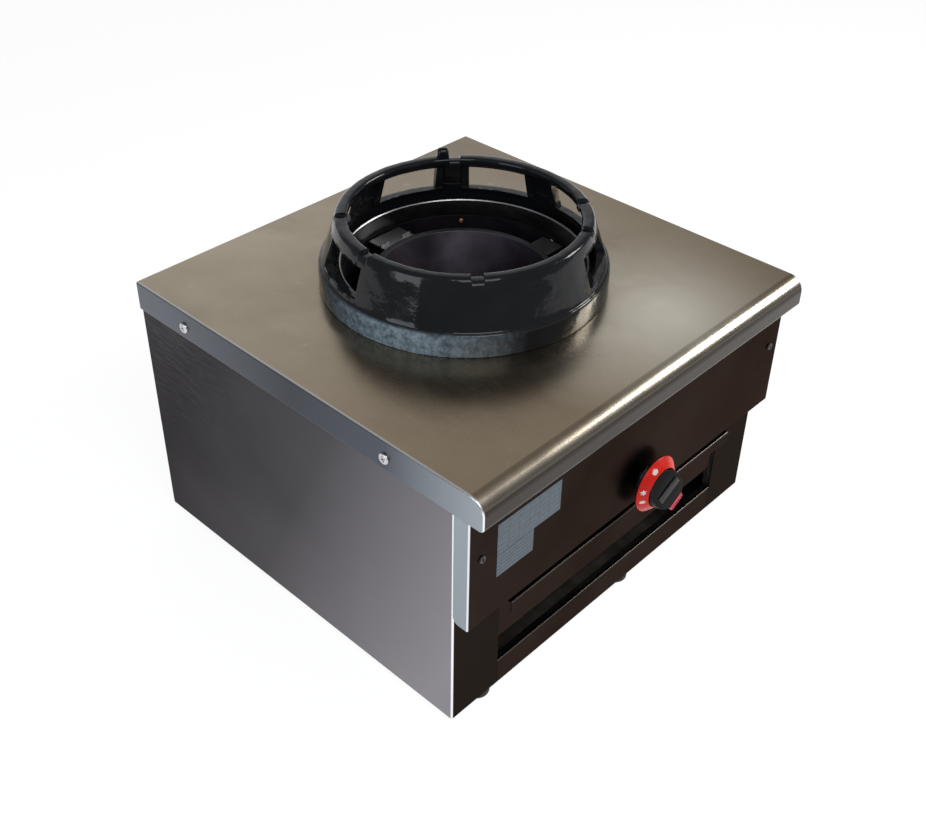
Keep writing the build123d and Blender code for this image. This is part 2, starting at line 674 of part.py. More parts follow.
def make_wok_ring():
    """Cast ring: low band, conical wall with framed windows, a beaded rim, notches and a lug."""
    bead_low = RING_HEIGHT - RING_BEAD_HEIGHT
    inner_low = ring_outer_radius(RING_BAND_HEIGHT) - RING_WALL
    inner_high = ring_outer_radius(bead_low) - RING_WALL
    rim_inner = RING_RIM_RADIUS - RING_RIM_WIDTH
    base_inner = RING_BASE_RADIUS - RING_BASE_WALL
    points = [
        (base_inner, 0), (RING_BASE_RADIUS - 0.6, 0), (RING_BASE_RADIUS, 4),
        (RING_BASE_RADIUS - 0.4, RING_BAND_HEIGHT - 3.5), (RING_BASE_RADIUS - 2.5, RING_BAND_HEIGHT - 0.5),
        (RING_BASE_RADIUS - RING_LEDGE + 1.5, RING_BAND_HEIGHT),
        (ring_outer_radius(RING_BAND_HEIGHT + 2.5), RING_BAND_HEIGHT + 2.5),
        (ring_outer_radius(RING_HEIGHT - 3), RING_HEIGHT - 3), (RING_RIM_RADIUS - 2.5, RING_HEIGHT),
        (rim_inner + 2, RING_HEIGHT), (rim_inner, RING_HEIGHT - 2), (rim_inner + 1.5, bead_low + 2),
        (inner_high, bead_low - 1.5), (inner_low, RING_BAND_HEIGHT + 1),
        (base_inner - 0.5, RING_BAND_HEIGHT - 7),
    ]
    ring = turned(points, (0, 0, 0))

    window_sweep = WINDOW_ANGLE + 2 * FRAME_ANGLE
    frame_low = WINDOW_LOW - FRAME_WIDTH
    frame_high = WINDOW_HIGH + FRAME_WIDTH
    frame_points = [
        (ring_outer_radius(frame_low) - RING_WALL - FRAME_DEPTH, frame_low),
        (ring_outer_radius(frame_low) - 2, frame_low),
        (ring_outer_radius(frame_high) - 2, frame_high),
        (ring_outer_radius(frame_high) - RING_WALL - FRAME_DEPTH, frame_high),
    ]
    opening_points = [
        (rim_inner - 25, WINDOW_LOW), (RING_BASE_RADIUS + 20, WINDOW_LOW),
        (RING_BASE_RADIUS + 20, WINDOW_HIGH), (rim_inner - 25, WINDOW_HIGH),
    ]
    centres = [WINDOW_FIRST_ANGLE + WINDOW_PITCH * number for number in range(WINDOW_COUNT)]
    for angle in centres:
        ring += turned(frame_points, (0, 0, 0), window_sweep, angle - window_sweep / 2)
    for angle in centres:
        opening = turned(opening_points, (0, 0, 0), WINDOW_ANGLE, angle - WINDOW_ANGLE / 2)
        corner_edges = opening.edges().filter_by(GeomType.LINE).filter_by(Plane.XY)
        ring -= fillet(corner_edges, WINDOW_CORNER)

    rim_middle = RING_RIM_RADIUS - RING_RIM_WIDTH / 2
    lug_radius = RING_RIM_RADIUS - LUG_THICKNESS / 2 - 1.5
    lug = Pos(lug_radius, 0, RING_HEIGHT - 4) * Box(
        LUG_THICKNESS, LUG_WIDTH, LUG_HEIGHT + 4, align=(Align.CENTER, Align.CENTER, Align.MIN))
    top_edges = lug.edges().filter_by(Axis.X).sort_by(Axis.Z)[-2:]
    lug = fillet(top_edges, LUG_WIDTH * 0.32)
    inner_edges = lug.faces().sort_by(Axis.X)[0].edges()
    lug = fillet(inner_edges.filter_by(lambda edge: edge.center().Z > RING_HEIGHT), 1.5)
    ring += Rot(0, 0, LUG_ANGLE) * lug
    for angle in NOTCH_ANGLES:
        notch = Pos(rim_middle, 0, RING_HEIGHT - NOTCH_DEPTH) * Box(
            RING_RIM_WIDTH * 3, NOTCH_WIDTH, NOTCH_DEPTH * 2, align=(Align.CENTER, Align.CENTER, Align.MIN))
        low_edges = notch.edges().filter_by(Axis.X).sort_by(Axis.Z)[:2]
        ring -= Rot(0, 0, angle) * fillet(low_edges, NOTCH_DEPTH * 0.6)
    return Pos(0, BURNER_Y, TOP_LEVEL) * ring


def make_bowl():
    """Open conical burner bowl whose rim rests on the three brackets."""
    rise = BOWL_RIM_RISE
    points = [
        (BOWL_MOUTH_RADIUS - BOWL_SHEET, rise + BOWL_SHEET), (BOWL_RIM_RADIUS - 0.6, rise + BOWL_SHEET),
        (BOWL_RIM_RADIUS, rise + BOWL_SHEET - 0.6), (BOWL_RIM_RADIUS, rise), (BOWL_MOUTH_RADIUS, rise),
        (BOWL_THROAT_RADIUS + BOWL_SHEET, -BOWL_DROP), (BOWL_THROAT_RADIUS, -BOWL_DROP),
    ]
    return turned(points, (0, BURNER_Y, TOP_LEVEL))


def bracket(width, reach, offset, ears):
    """Z-shaped bracket along +X: plate under the bowl's rim, leg and foot on the shelf."""
    top = at_rise(BOWL_RIM_RISE)
    sides = (offset - width / 2, offset + width / 2)
    plate = block((BRACKET_INNER, reach), sides, (top - BRACKET_SHEET, top))
    leg = block((reach - BRACKET_SHEET, reach), sides, (SHELF_Z, top))
    foot = block((reach - BRACKET_SHEET, reach + BRACKET_FOOT), sides, (SHELF_Z, SHELF_Z + BRACKET_SHEET))
    shape = plate + leg + foot
    shape = fillet(shape.edges().filter_by(Axis.Y).sort_by(Axis.Z)[-1:], BRACKET_SHEET * 0.6)
    if ears:
        for side in (-1, 1):
            shape += block((EAR_REACH, EAR_REACH + BRACKET_SHEET),
                           (offset + side * EAR_INNER, offset + side * width / 2),
                           (top - BRACKET_SHEET / 2, top + EAR_HEIGHT))
    hole_x = reach + BRACKET_FOOT / 2
    shape -= rod((hole_x, offset, SHELF_Z - 5), UP, SCREW_HOLE, 12)
    return shape


SIDE_OFFSET = -(SIDE_BRACKET_NEAR + SIDE_BRACKET_WIDTH / 2)
BRACKET_SCREWS = [
    (0, BURNER_Y + BACK_BRACKET_REACH + BRACKET_FOOT / 2, SHELF_Z),
    (SIDE_BRACKET_REACH + BRACKET_FOOT / 2, BURNER_Y + SIDE_OFFSET, SHELF_Z),
    (-SIDE_BRACKET_REACH - BRACKET_FOOT / 2, BURNER_Y + SIDE_OFFSET, SHELF_Z),
]


def make_brackets():
    """Back bracket with two ears, and a plain bracket on each side."""
    back = bracket(BACK_BRACKET_WIDTH, BACK_BRACKET_REACH, 0, True)
    side = bracket(SIDE_BRACKET_WIDTH, SIDE_BRACKET_REACH, SIDE_OFFSET, False)
    right = Pos(0, BURNER_Y, 0) * side
    return {
        "bowl_bracket_back": Pos(0, BURNER_Y, 0) * (Rot(0, 0, 90) * back),
        "bowl_bracket_right": right,
        "bowl_bracket_left": mirror(right, about=Plane.YZ),
    }


def make_shelf():
    """Flanged cross shelf that carries the burner, with air slots round the bowl's throat."""
    half = BODY_INNER
    near = SHELF_FRONT_Y
    far = SHELF_BACK_Y
    shelf = block((-half, half), (near, far), (SHELF_Z - SHELF_FLANGE, SHELF_Z))
    shelf -= block((-half + SHELF_SHEET, half - SHELF_SHEET), (near + SHELF_SHEET, far - SHELF_SHEET),
                   (SHELF_Z - SHELF_FLANGE - 1, SHELF_Z - SHELF_SHEET))
    centre = (0, BURNER_Y, SHELF_Z)
    shelf -= rod((0, BURNER_Y, SHELF_Z - 5), UP, NECK_RADIUS + HOLE_GAP, 10)
    slot_length = SLOT_OUTER - SLOT_INNER
    shelf -= around(SHELF_SLOTS, 360.0 / SHELF_SLOTS / 2, centre,
                    lambda: Pos(SLOT_INNER + slot_length / 2, 0, 0) * Box(slot_length, SLOT_WIDTH, 10))
    shelf -= holes_for(BRACKET_SCREWS, UP, SCREW_HOLE, 12)
    shelf -= burner_bolt_holes()
    for side in (-1, 1):
        shelf -= rod((side * TIP_OFFSET_X, BURNER_Y + TIP_OFFSET_Y, SHELF_Z - 5), UP, TIP_HOLE_RADIUS, 10)
    return shelf


# ---------------------------------------------------------------- burner
def burner_bolt_holes():
    """Cutters for the bolts through the head's flange, the shelf and the neck's flange."""
    centre = (0, BURNER_Y, SHELF_Z)
    return around(BURNER_BOLTS, BURNER_BOLT_ANGLE, centre,
                  lambda: rod((BURNER_BOLT_CIRCLE, 0, -3 * MIXER_FLANGE), UP,
                              BURNER_BOLT_RADIUS + SMALL_GAP, 3 * MIXER_FLANGE + 2 * HEAD_FLANGE))


def make_burner_head():
    """Cast burner cup with a bolting flange and an inlet in its floor."""
    cup = rod((0, BURNER_Y, SHELF_Z), UP, HEAD_RADIUS, HEAD_HEIGHT)
    cup += rod((0, BURNER_Y, SHELF_Z), UP, HEAD_FLANGE_RADIUS, HEAD_FLANGE)
    cup -= rod((0, BURNER_Y, SHELF_Z + HEAD_FLANGE), UP, HEAD_RADIUS - HEAD_WALL, HEAD_HEIGHT)
    cup -= rod((0, BURNER_Y, SHELF_Z - 1), UP, NECK_BORE, HEAD_HEIGHT)
    cup -= burner_bolt_holes()
    return cup


def make_burner_cap():
    """Cap with radial flame slots that drops into the cup."""
    base = SHELF_Z + HEAD_HEIGHT
    spigot = HEAD_RADIUS - HEAD_WALL - SMALL_GAP
    cap = rod((0, BURNER_Y, base), UP, HEAD_RADIUS, CAP_HEIGHT)
    cap = chamfer(cap.edges().sort_by(Axis.Z)[-1], CAP_HEIGHT * 0.6)
    cap += rod((0, BURNER_Y, base - 6), UP, spigot, 7)
    cap -= rod((0, BURNER_Y, base - 7), UP, spigot - 5, 11)
    centre = (0, BURNER_Y, base)
    length = HEAD_RADIUS - spigot + 12
    cap -= around(CAP_SLOTS, 0.0, centre,
                  lambda: Pos(spigot - 8 + length / 2, 0, 2) * Box(length, CAP_SLOT_WIDTH, 4))
    return cap


def make_mixing_tube():
    """Cast elbow and venturi from the burner's neck forwards to a flared, holed mouth."""
    flange_top = SHELF_Z - SHELF_SHEET
    neck_height = flange_top - MIXER_Z
    straight = BURNER_Y - MOUTH_Y - MOUTH_LENGTH
    outside = rod((0, BURNER_Y, MIXER_Z), UP, NECK_RADIUS, neck_height)
    outside += rod((0, BURNER_Y, flange_top - MIXER_FLANGE), UP, HEAD_FLANGE_RADIUS, MIXER_FLANGE)
    outside += Pos(0, BURNER_Y, MIXER_Z) * Sphere(NECK_RADIUS)
    outside += rod((0, BURNER_Y, MIXER_Z), FORWARDS, NECK_RADIUS, straight)
    place = Plane(origin=(0, BURNER_Y - straight, MIXER_Z), z_dir=FORWARDS)
    outside += place * Cone(NECK_RADIUS, MOUTH_RADIUS, MOUTH_LENGTH,
                            align=(Align.CENTER, Align.CENTER, Align.MIN))
    inside = rod((0, BURNER_Y, MIXER_Z), UP, NECK_BORE, neck_height + 1)
    inside += Pos(0, BURNER_Y, MIXER_Z) * Sphere(NECK_BORE)
    inside += rod((0, BURNER_Y, MIXER_Z), FORWARDS, NECK_BORE, straight)
    wall = NECK_RADIUS - NECK_BORE
    inside += place * Cone(NECK_BORE, MOUTH_RADIUS - wall, MOUTH_LENGTH - MOUTH_PLATE,
                           align=(Align.CENTER, Align.CENTER, Align.MIN))
    body = outside - inside
    body -= rod((0, MOUTH_Y - 1, MIXER_Z), (0, 1, 0), INJECTOR_RADIUS + HOLE_GAP, 2 * MOUTH_PLATE)
    body -= air_holes(MOUTH_Y + MOUTH_PLATE + 1, MOUTH_PLATE + 2)
    body -= burner_bolt_holes()
    return body


def air_holes(start_y, length):
    """Kidney-shaped air holes about the venturi's axis, running forwards from a Y."""
    sector = revolve(make_face(Polyline(
        (AIR_HOLE_INNER, 0, 0), (AIR_HOLE_OUTER, 0, 0), (AIR_HOLE_OUTER, 0, length),
        (AIR_HOLE_INNER, 0, length), close=True)), Axis.Z, AIR_HOLE_ANGLE)
    place = Plane(origin=(0, start_y, MIXER_Z), z_dir=FORWARDS)
    return [place * (Rot(0, 0, 360.0 / AIR_HOLES * turn) * sector) for turn in range(AIR_HOLES)]


def make_air_shutter():
    """Disc with matching air holes that turns in front of the mouth to set the air."""
    start_y = MOUTH_Y - REST_GAP
    disc = rod((0, start_y, MIXER_Z), FORWARDS, MOUTH_RADIUS - 1, SHUTTER_THICKNESS)
    disc -= rod((0, start_y + 1, MIXER_Z), FORWARDS, INJECTOR_RADIUS + RUN_GAP, SHUTTER_THICKNESS + 2)
    disc -= air_holes(start_y + 1, SHUTTER_THICKNESS + 2)
    tab = block((-5, 5), (start_y - SHUTTER_THICKNESS, start_y),
                (MIXER_Z + MOUTH_RADIUS - 3, MIXER_Z + MOUTH_RADIUS + 7))
    return disc + fillet(tab.edges().filter_by(Axis.Y).sort_by(Axis.Z)[-2:], 2.5)


def make_injector():
    """Brass jet on the venturi's axis, screwed into the elbow."""
    length = INJECTOR_BACK - ELBOW_BACK_Y
    jet = rod((0, ELBOW_BACK_Y, MIXER_Z), (0, 1, 0), INJECTOR_RADIUS, length)
    jet += rod((0, INJECTOR_BACK - 0.5, MIXER_Z), (0, 1, 0), INJECTOR_RADIUS * 0.6, 4)
    jet -= rod((0, ELBOW_BACK_Y - 1, MIXER_Z), (0, 1, 0), GAS_BORE, length)
    jet -= rod((0, ELBOW_BACK_Y - 1, MIXER_Z), (0, 1, 0), JET_BORE, length + 20)
    return jet


def make_injector_elbow():
    """Block that holds the injector and takes the feed tube."""
    half = ELBOW_SIZE / 2
    body = block((-half, half), (ELBOW_BACK_Y - ELBOW_SIZE, ELBOW_BACK_Y), (MIXER_Z - half, MIXER_Z + half))
    body = chamfer(body.edges().filter_by(Axis.Y), 3)
    body += rod((0, ELBOW_BACK_Y - ELBOW_SIZE, MIXER_Z), FORWARDS, 2 * FEED_RADIUS, ELBOW_BOSS)
    body -= rod((0, ELBOW_BACK_Y + 1, MIXER_Z), FORWARDS, GAS_BORE, ELBOW_SIZE + 10)
    body -= rod((0, ELBOW_BACK_Y - ELBOW_SIZE + 4, MIXER_Z), FORWARDS, FEED_RADIUS + SMALL_GAP, 12)
    return body


def make_elbow_bracket():
    """Bent strap from the shelf's front flange down to the injector elbow."""
    half = ELBOW_SIZE / 2
    top = MIXER_Z + half
    shelf_front = SHELF_FRONT_Y
    high = SHELF_Z - 3
    upright = block((-half, half), (shelf_front - CLIP_SHEET, shelf_front), (top, high))
    seat_far = ELBOW_BACK_Y - 2
    seat = block((-half, half), (min(shelf_front - CLIP_SHEET, seat_far - 12), max(shelf_front, seat_far)),
                 (top, top + CLIP_SHEET))
    return upright + seat


def make_burner_bolts():
    """Bolts that clamp the burner head, the shelf and the mixing tube's flange."""
    radius = BURNER_BOLT_CIRCLE
    low = -SHELF_SHEET - MIXER_FLANGE

    def bolt():
        shank = rod((radius, 0, low - 4), UP, BURNER_BOLT_RADIUS, HEAD_FLANGE - low + 4)
        head = hexagon((radius, 0, HEAD_FLANGE), UP, SMALL_NUT_RADIUS, SMALL_NUT_HEIGHT)
        nut = hexagon((radius, 0, low - LARGE_NUT_HEIGHT), UP, SMALL_NUT_RADIUS, LARGE_NUT_HEIGHT)
        return shank + head + nut

    return Compound(children=around(BURNER_BOLTS, BURNER_BOLT_ANGLE, (0, BURNER_Y, SHELF_Z), bolt))


def make_tip(side, radius):
    """Pilot burner or thermocouple: a rod through the shelf with a collar that sits on it."""
    x = side * TIP_OFFSET_X
    y = BURNER_Y + TIP_OFFSET_Y
    tip = rod((x, y, SHELF_Z - TIP_TAIL), UP, radius, TIP_TAIL + TIP_LENGTH)
    tip += rod((x, y, SHELF_Z), UP, TIP_HOLE_RADIUS + 2, TIP_COLLAR)
    tip = fillet(tip.edges().sort_by(Axis.Z)[-1], radius * 0.5)
    return tip


# ---------------------------------------------------------------- drip tray
def make_tray():
    """Drip tray: open box with a taller front wall and a lip turned forwards and down."""
    low = at_drop(TRAY_DROP_BOTTOM)
    back = TRAY_BACK_Y
    sheet = TRAY_SHEET
    box = block((-TRAY_HALF, TRAY_HALF), (TRAY_Y, back), (low, low + TRAY_WALL))
    box = fillet(box.edges().filter_by(Axis.Y).sort_by(Axis.Z)[:2], 3)
    cavity = block((-TRAY_HALF + sheet, TRAY_HALF - sheet), (TRAY_Y + sheet, back - sheet),
                   (low + sheet, low + TRAY_WALL + 5))
    cavity = fillet(cavity.edges().filter_by(Axis.Y).sort_by(Axis.Z)[:2], 3 - sheet)
    tray = box - cavity
    top = at_drop(TRAY_DROP_TOP)
    lip_y = TRAY_Y - TRAY_LIP
    tray += block((-TRAY_HALF, TRAY_HALF), (TRAY_Y, TRAY_Y + sheet), (low + 3, top))
    tray += block((-TRAY_HALF, TRAY_HALF), (lip_y, TRAY_Y + sheet), (top - sheet, top))
    tray += block((-TRAY_HALF, TRAY_HALF), (lip_y, lip_y + sheet), (top - TRAY_LIP_TURN, top))
    front_edge = tray.edges().filter_by(Axis.X).filter_by(
        lambda edge: abs(edge.center().Y - lip_y) < 0.01 and abs(edge.center().Z - top) < 0.01)
    return fillet(front_edge, sheet)


def make_runner():
    """Left runner: an angle along the post's return that carries the tray's edge."""
    outer = -(POST_INNER + 2 * BODY_SHEET)
    top = at_drop(TRAY_DROP_BOTTOM) - REST_GAP
    back = BODY_BACK_Y
    rise = (top - BODY_SHEET, top + RUNNER_HEIGHT)
    web = block((outer, outer + BODY_SHEET), (POST_Y + BODY_SHEET, back), rise)
    shelf = block((outer, outer + RUNNER_WIDTH), (POST_Y + POST_RETURN + 1, back), (top - BODY_SHEET, top))
    stop = block((outer, outer + RUNNER_WIDTH), (back - BODY_SHEET, back), rise)
    return web + shelf + stop


# ---------------------------------------------------------------- valve and knob
def make_valve_body():
    """Brass gas valve: body, threaded neck through the panel, and side, top and rear bosses."""
    backwards = (0, 1, 0)
    sideways = (1, 0, 0)
    body = rod((KNOB_X, VALVE_FRONT_Y, KNOB_Z), backwards, VALVE_RADIUS, VALVE_LENGTH)
    body += rod((KNOB_X, NECK_FRONT_Y, KNOB_Z), backwards, VALVE_NECK_RADIUS,
                VALVE_FRONT_Y - NECK_FRONT_Y + 1)
    body += rod((KNOB_X, INLET_BOSS_Y, KNOB_Z), sideways, INLET_BOSS_RADIUS, VALVE_RADIUS + BOSS_REACH)
    body += rod((KNOB_X, PILOT_BOSS_Y, KNOB_Z), sideways, PILOT_BOSS_RADIUS, VALVE_RADIUS + 7)
    body += rod((KNOB_X, FEED_BOSS_Y, KNOB_Z), UP, FEED_BOSS_RADIUS, VALVE_RADIUS + 5)
    body += rod((KNOB_X, VALVE_BACK_Y, KNOB_Z), backwards, LEAD_BOSS_RADIUS, LEAD_BOSS)
    bore_front = NECK_FRONT_Y + NECK_WALL
    body -= rod((KNOB_X, bore_front, KNOB_Z), backwards, VALVE_NECK_BORE, PLUG_SEAT_Y - bore_front)
    body -= rod((KNOB_X, NECK_FRONT_Y - 1, KNOB_Z), backwards, STEM_RADIUS + RUN_GAP, NECK_WALL + 3)
    body -= rod((KNOB_X, PLUG_SEAT_Y, KNOB_Z), backwards, PLUG_RADIUS + RUN_GAP, PLUG_LENGTH + 2 * REST_GAP)
    body -= rod((KNOB_X, PLUG_SEAT_Y, KNOB_Z), backwards, PIN_RADIUS + REST_GAP, PLUG_LENGTH + 14)
    body -= rod((KNOB_X + VALVE_RADIUS, INLET_BOSS_Y, KNOB_Z), sideways, PIPE_RADIUS + SMALL_GAP, 30)
    body -= rod((KNOB_X, INLET_BOSS_Y, KNOB_Z), sideways, GAS_BORE + 1, 30)
    body -= rod((KNOB_X + VALVE_RADIUS, PILOT_BOSS_Y, KNOB_Z), sideways, PILOT_PIPE_RADIUS + SMALL_GAP, 20)
    body -= rod((KNOB_X, FEED_BOSS_Y, KNOB_Z + VALVE_RADIUS), UP, FEED_RADIUS + SMALL_GAP, 20)
    body -= rod((KNOB_X, VALVE_BACK_Y + 3, KNOB_Z), backwards, LEAD_RADIUS + SMALL_GAP, 20)
    return body


def make_valve_plug():
    """Turning plug with a socket for the stem and a bore for the magnet pin."""
    backwards = (0, 1, 0)
    plug = rod((KNOB_X, PLUG_FRONT_Y, KNOB_Z), backwards, PLUG_RADIUS, PLUG_LENGTH)
    plug -= rod((KNOB_X, PLUG_FRONT_Y - 1, KNOB_Z), backwards, STEM_RADIUS + RUN_GAP, PLUG_SOCKET + 1)
    plug -= rod((KNOB_X, PLUG_FRONT_Y - 1, KNOB_Z), backwards, PIN_RADIUS + SMALL_GAP, PLUG_LENGTH + 3)
    plug -= rod((KNOB_X, PLUG_FRONT_Y + PLUG_SOCKET + 1, KNOB_Z), (1, 0, 0), PLUG_PORT, 30)
    return plug


def make_valve_stem():
    """Stem from the plug's socket out to the knob, with a collar for the spring."""
    front = STEM_FRONT_Y
    stem = rod((KNOB_X, front, KNOB_Z), (0, 1, 0), STEM_RADIUS, STEM_BACK_Y - front)
    stem += rod((KNOB_X, COLLAR_BACK_Y - STEM_COLLAR, KNOB_Z), (0, 1, 0), STEM_COLLAR_RADIUS, STEM_COLLAR)
    flat_z = KNOB_Z + 0.65 * STEM_RADIUS
    flat = block((KNOB_X - STEM_RADIUS - 1, KNOB_X + STEM_RADIUS + 1), (front - 1, front + PLUG_SOCKET),
                 (flat_z, KNOB_Z + 2 * STEM_RADIUS))
    return stem - flat


def make_magnet_pin():
    """Thin pin behind the stem that holds the flame-failure magnet open while pushed."""
    start = STEM_BACK_Y + SMALL_GAP / 2
    end = VALVE_FRONT_Y + PLUG_LENGTH + STEM_COVER
    return rod((KNOB_X, start, KNOB_Z), (0, 1, 0), PIN_RADIUS, end - start)


def make_stem_spring():
    """Coil spring between the plug and the stem's collar."""
    start = COLLAR_BACK_Y + SPRING_WIRE / 2 + SMALL_GAP
    end = PLUG_SEAT_Y - SPRING_WIRE / 2 - SMALL_GAP
    height = end - start
    radius = (STEM_RADIUS + VALVE_NECK_BORE) / 2
    coil = Helix(height / SPRING_TURNS, height, radius)
    section = Plane(origin=coil @ 0, z_dir=coil % 0) * Circle(SPRING_WIRE / 2)
    wire = sweep(section, coil, is_frenet=True)
    place = Plane(origin=(KNOB_X, start, KNOB_Z), x_dir=(1, 0, 0), z_dir=(0, 1, 0))
    return place * wire


def make_panel_nut():
    """Bright nut and washer that hold the valve's neck on the control panel."""
    washer = tube((KNOB_X, PANEL_Y, KNOB_Z), FORWARDS, NUT_RADIUS + 2, VALVE_NECK_RADIUS + SMALL_GAP, 1.2)
    nut = hexagon((KNOB_X, PANEL_Y - 1.2, KNOB_Z), FORWARDS, NUT_RADIUS, NUT_HEIGHT - 1.2)
    nut -= rod((KNOB_X, PANEL_Y + 1, KNOB_Z), FORWARDS, VALVE_NECK_RADIUS + SMALL_GAP, NUT_HEIGHT + 4)
    return washer + nut


def knob_place():
    """Plane on the panel's face whose Z runs forwards and whose X runs across the panel."""
    return Plane(origin=(KNOB_X, PANEL_Y, KNOB_Z), x_dir=(1, 0, 0), z_dir=FORWARDS)


def knob_turned(points):
    """Solid of revolution about the knob's axis, from radii and distances off the panel."""
    wire = Polyline(*[(radius, 0, front) for radius, front in points], close=True)
    return knob_place() * revolve(make_face(wire), Axis.Z, 360)


def make_dial():
    """Conical dial behind the grip: a short rim and a slanted face."""
    rim_front = DIAL_BACK + DIAL_RIM
    crest = DIAL_CREST
    return knob_turned([
        (DIAL_RADIUS - DIAL_WALL, DIAL_BACK), (DIAL_RADIUS, DIAL_BACK), (DIAL_RADIUS, rim_front),
        (DIAL_INNER + 0.6, crest), (DIAL_INNER, crest - 0.4), (DIAL_INNER, crest - DIAL_WALL - 0.6),
        (DIAL_INNER + GRIP_LEDGE + SMALL_GAP, crest - DIAL_WALL - 0.6),
        (DIAL_RADIUS - DIAL_WALL, rim_front - 0.6),
    ])


def make_grip():
    """Hollow grip with a dished front, a hub for the stem and a flat where the pointer sits."""
    base = DIAL_CREST
    ledge_front = base - DIAL_WALL - 0.6 - SMALL_GAP
    ledge_back = ledge_front - 2
    grip = knob_turned([
        (GRIP_RADIUS - GRIP_WALL, ledge_back), (GRIP_RADIUS + GRIP_LEDGE, ledge_back),
        (GRIP_RADIUS + GRIP_LEDGE, ledge_front), (GRIP_RADIUS, ledge_front), (GRIP_RADIUS, base),
        (GRIP_FRONT_RADIUS + 0.3, GRIP_FRONT - 1.5), (GRIP_FRONT_RADIUS - 1.2, GRIP_FRONT),
        (GRIP_FRONT_RADIUS - 2.4, GRIP_FRONT), (GRIP_FRONT_RADIUS - 3.6, GRIP_FRONT - GRIP_DISH),
        (0, GRIP_FRONT - GRIP_DISH), (0, GRIP_FRONT - GRIP_DISH - GRIP_WALL),
        (GRIP_FRONT_RADIUS - GRIP_WALL, GRIP_FRONT - GRIP_DISH - GRIP_WALL),
    ])
    grip += knob_turned([(0, DIAL_BACK), (HUB_RADIUS, DIAL_BACK), (HUB_RADIUS, GRIP_FRONT - 3),
                         (0, GRIP_FRONT - 3)])
    place = knob_place()
    grip -= place * Cylinder(STEM_RADIUS + RUN_GAP, GRIP_FRONT - STEM_COVER + HOLE_GAP,
                             align=(Align.CENTER, Align.CENTER, Align.MIN))
    seat = Rot(0, 0, POINTER_ANGLE) * (Pos(POINTER_INNER, 0, POINTER_BACK) * Box(
        40, 60, 40, align=(Align.MIN, Align.CENTER, Align.MIN)))
    grip -= place * seat
    back_wall = Rot(0, 0, POINTER_ANGLE) * (Pos(POINTER_INNER - GRIP_WALL, 0, POINTER_BACK - 2) * Box(
        GRIP_WALL, POINTER_WIDTH, GRIP_FRONT - POINTER_BACK, align=(Align.MIN, Align.CENTER, Align.MIN)))
    sill = Rot(0, 0, POINTER_ANGLE) * (Pos(POINTER_INNER - GRIP_WALL, 0, POINTER_BACK - 2) * Box(
        GRIP_RADIUS - POINTER_INNER + GRIP_WALL, POINTER_WIDTH, 2,
        align=(Align.MIN, Align.CENTER, Align.MIN)))
    inside_grip = place * Cylinder(GRIP_RADIUS - 0.2, 2 * GRIP_FRONT)
    return grip + place * back_wall + (place * sill & inside_grip)


def make_pointer():
    """Pointer block on the grip's flat; its front stands proud of the grip."""
    length = POINTER_OUTER - POINTER_INNER
    shape = Pos(POINTER_INNER, 0, POINTER_BACK) * Box(
        length, POINTER_WIDTH, POINTER_FRONT - POINTER_BACK, align=(Align.MIN, Align.CENTER, Align.MIN))
    shape = fillet(shape.edges().filter_by(Axis.Z).sort_by(Axis.X)[-2:], 2.0)
    shape = fillet(shape.faces().sort_by(Axis.Z)[-1].edges(), 0.8)
    return knob_place() * (Rot(0, 0, POINTER_ANGLE) * shape)


# ---------------------------------------------------------------- gas pipes
def make_gas_inlet():
    """Bulkhead fitting through the back panel; the male thread stands out behind."""
    face = BODY_BACK_Y + BACK_SHEET
    end = BACK_EDGE + INLET_BEHIND
    fitting = rod((PIPE_X, face, KNOB_Z), (0, 1, 0), INLET_RADIUS, end - face)
    fitting += hexagon((PIPE_X, face, KNOB_Z), (0, 1, 0), INLET_HEX_RADIUS, INLET_HEX)
    fitting += rod((PIPE_X, face - INLET_INSIDE, KNOB_Z), (0, 1, 0), INLET_RADIUS, INLET_INSIDE)
    start = (PIPE_X, face - INLET_INSIDE - 1, KNOB_Z)
    fitting -= rod(start, (0, 1, 0), PIPE_RADIUS - PIPE_WALL, 4 * INLET_BEHIND)
    fitting -= rod(start, (0, 1, 0), PIPE_RADIUS + SMALL_GAP, INLET_SOCKET)
    return chamfer(fitting.edges().filter_by(GeomType.CIRCLE).sort_by(Axis.Y)[-1:], 1.0)


def make_locknut():
    """Nut inside the back panel on the inlet fitting."""
    nut = hexagon((PIPE_X, BODY_BACK_Y - LOCKNUT_HEIGHT, KNOB_Z), (0, 1, 0), INLET_HEX_RADIUS, LOCKNUT_HEIGHT)
    start = (PIPE_X, BODY_BACK_Y - LOCKNUT_HEIGHT - 1, KNOB_Z)
    return nut - rod(start, (0, 1, 0), INLET_RADIUS + RUN_GAP, 20)


def make_supply_pipe():
    """Main gas pipe from the inlet along the right side and across to the valve."""
    start = (PIPE_X, BODY_BACK_Y + BACK_SHEET - INLET_INSIDE + INLET_SOCKET - 2, KNOB_Z)
    end = (KNOB_X + VALVE_RADIUS + 3, INLET_BOSS_Y, KNOB_Z)
    corner = (PIPE_X, INLET_BOSS_Y, KNOB_Z)
    return swept([start, corner, end], PIPE_BEND, PIPE_RADIUS, PIPE_RADIUS - PIPE_WALL)


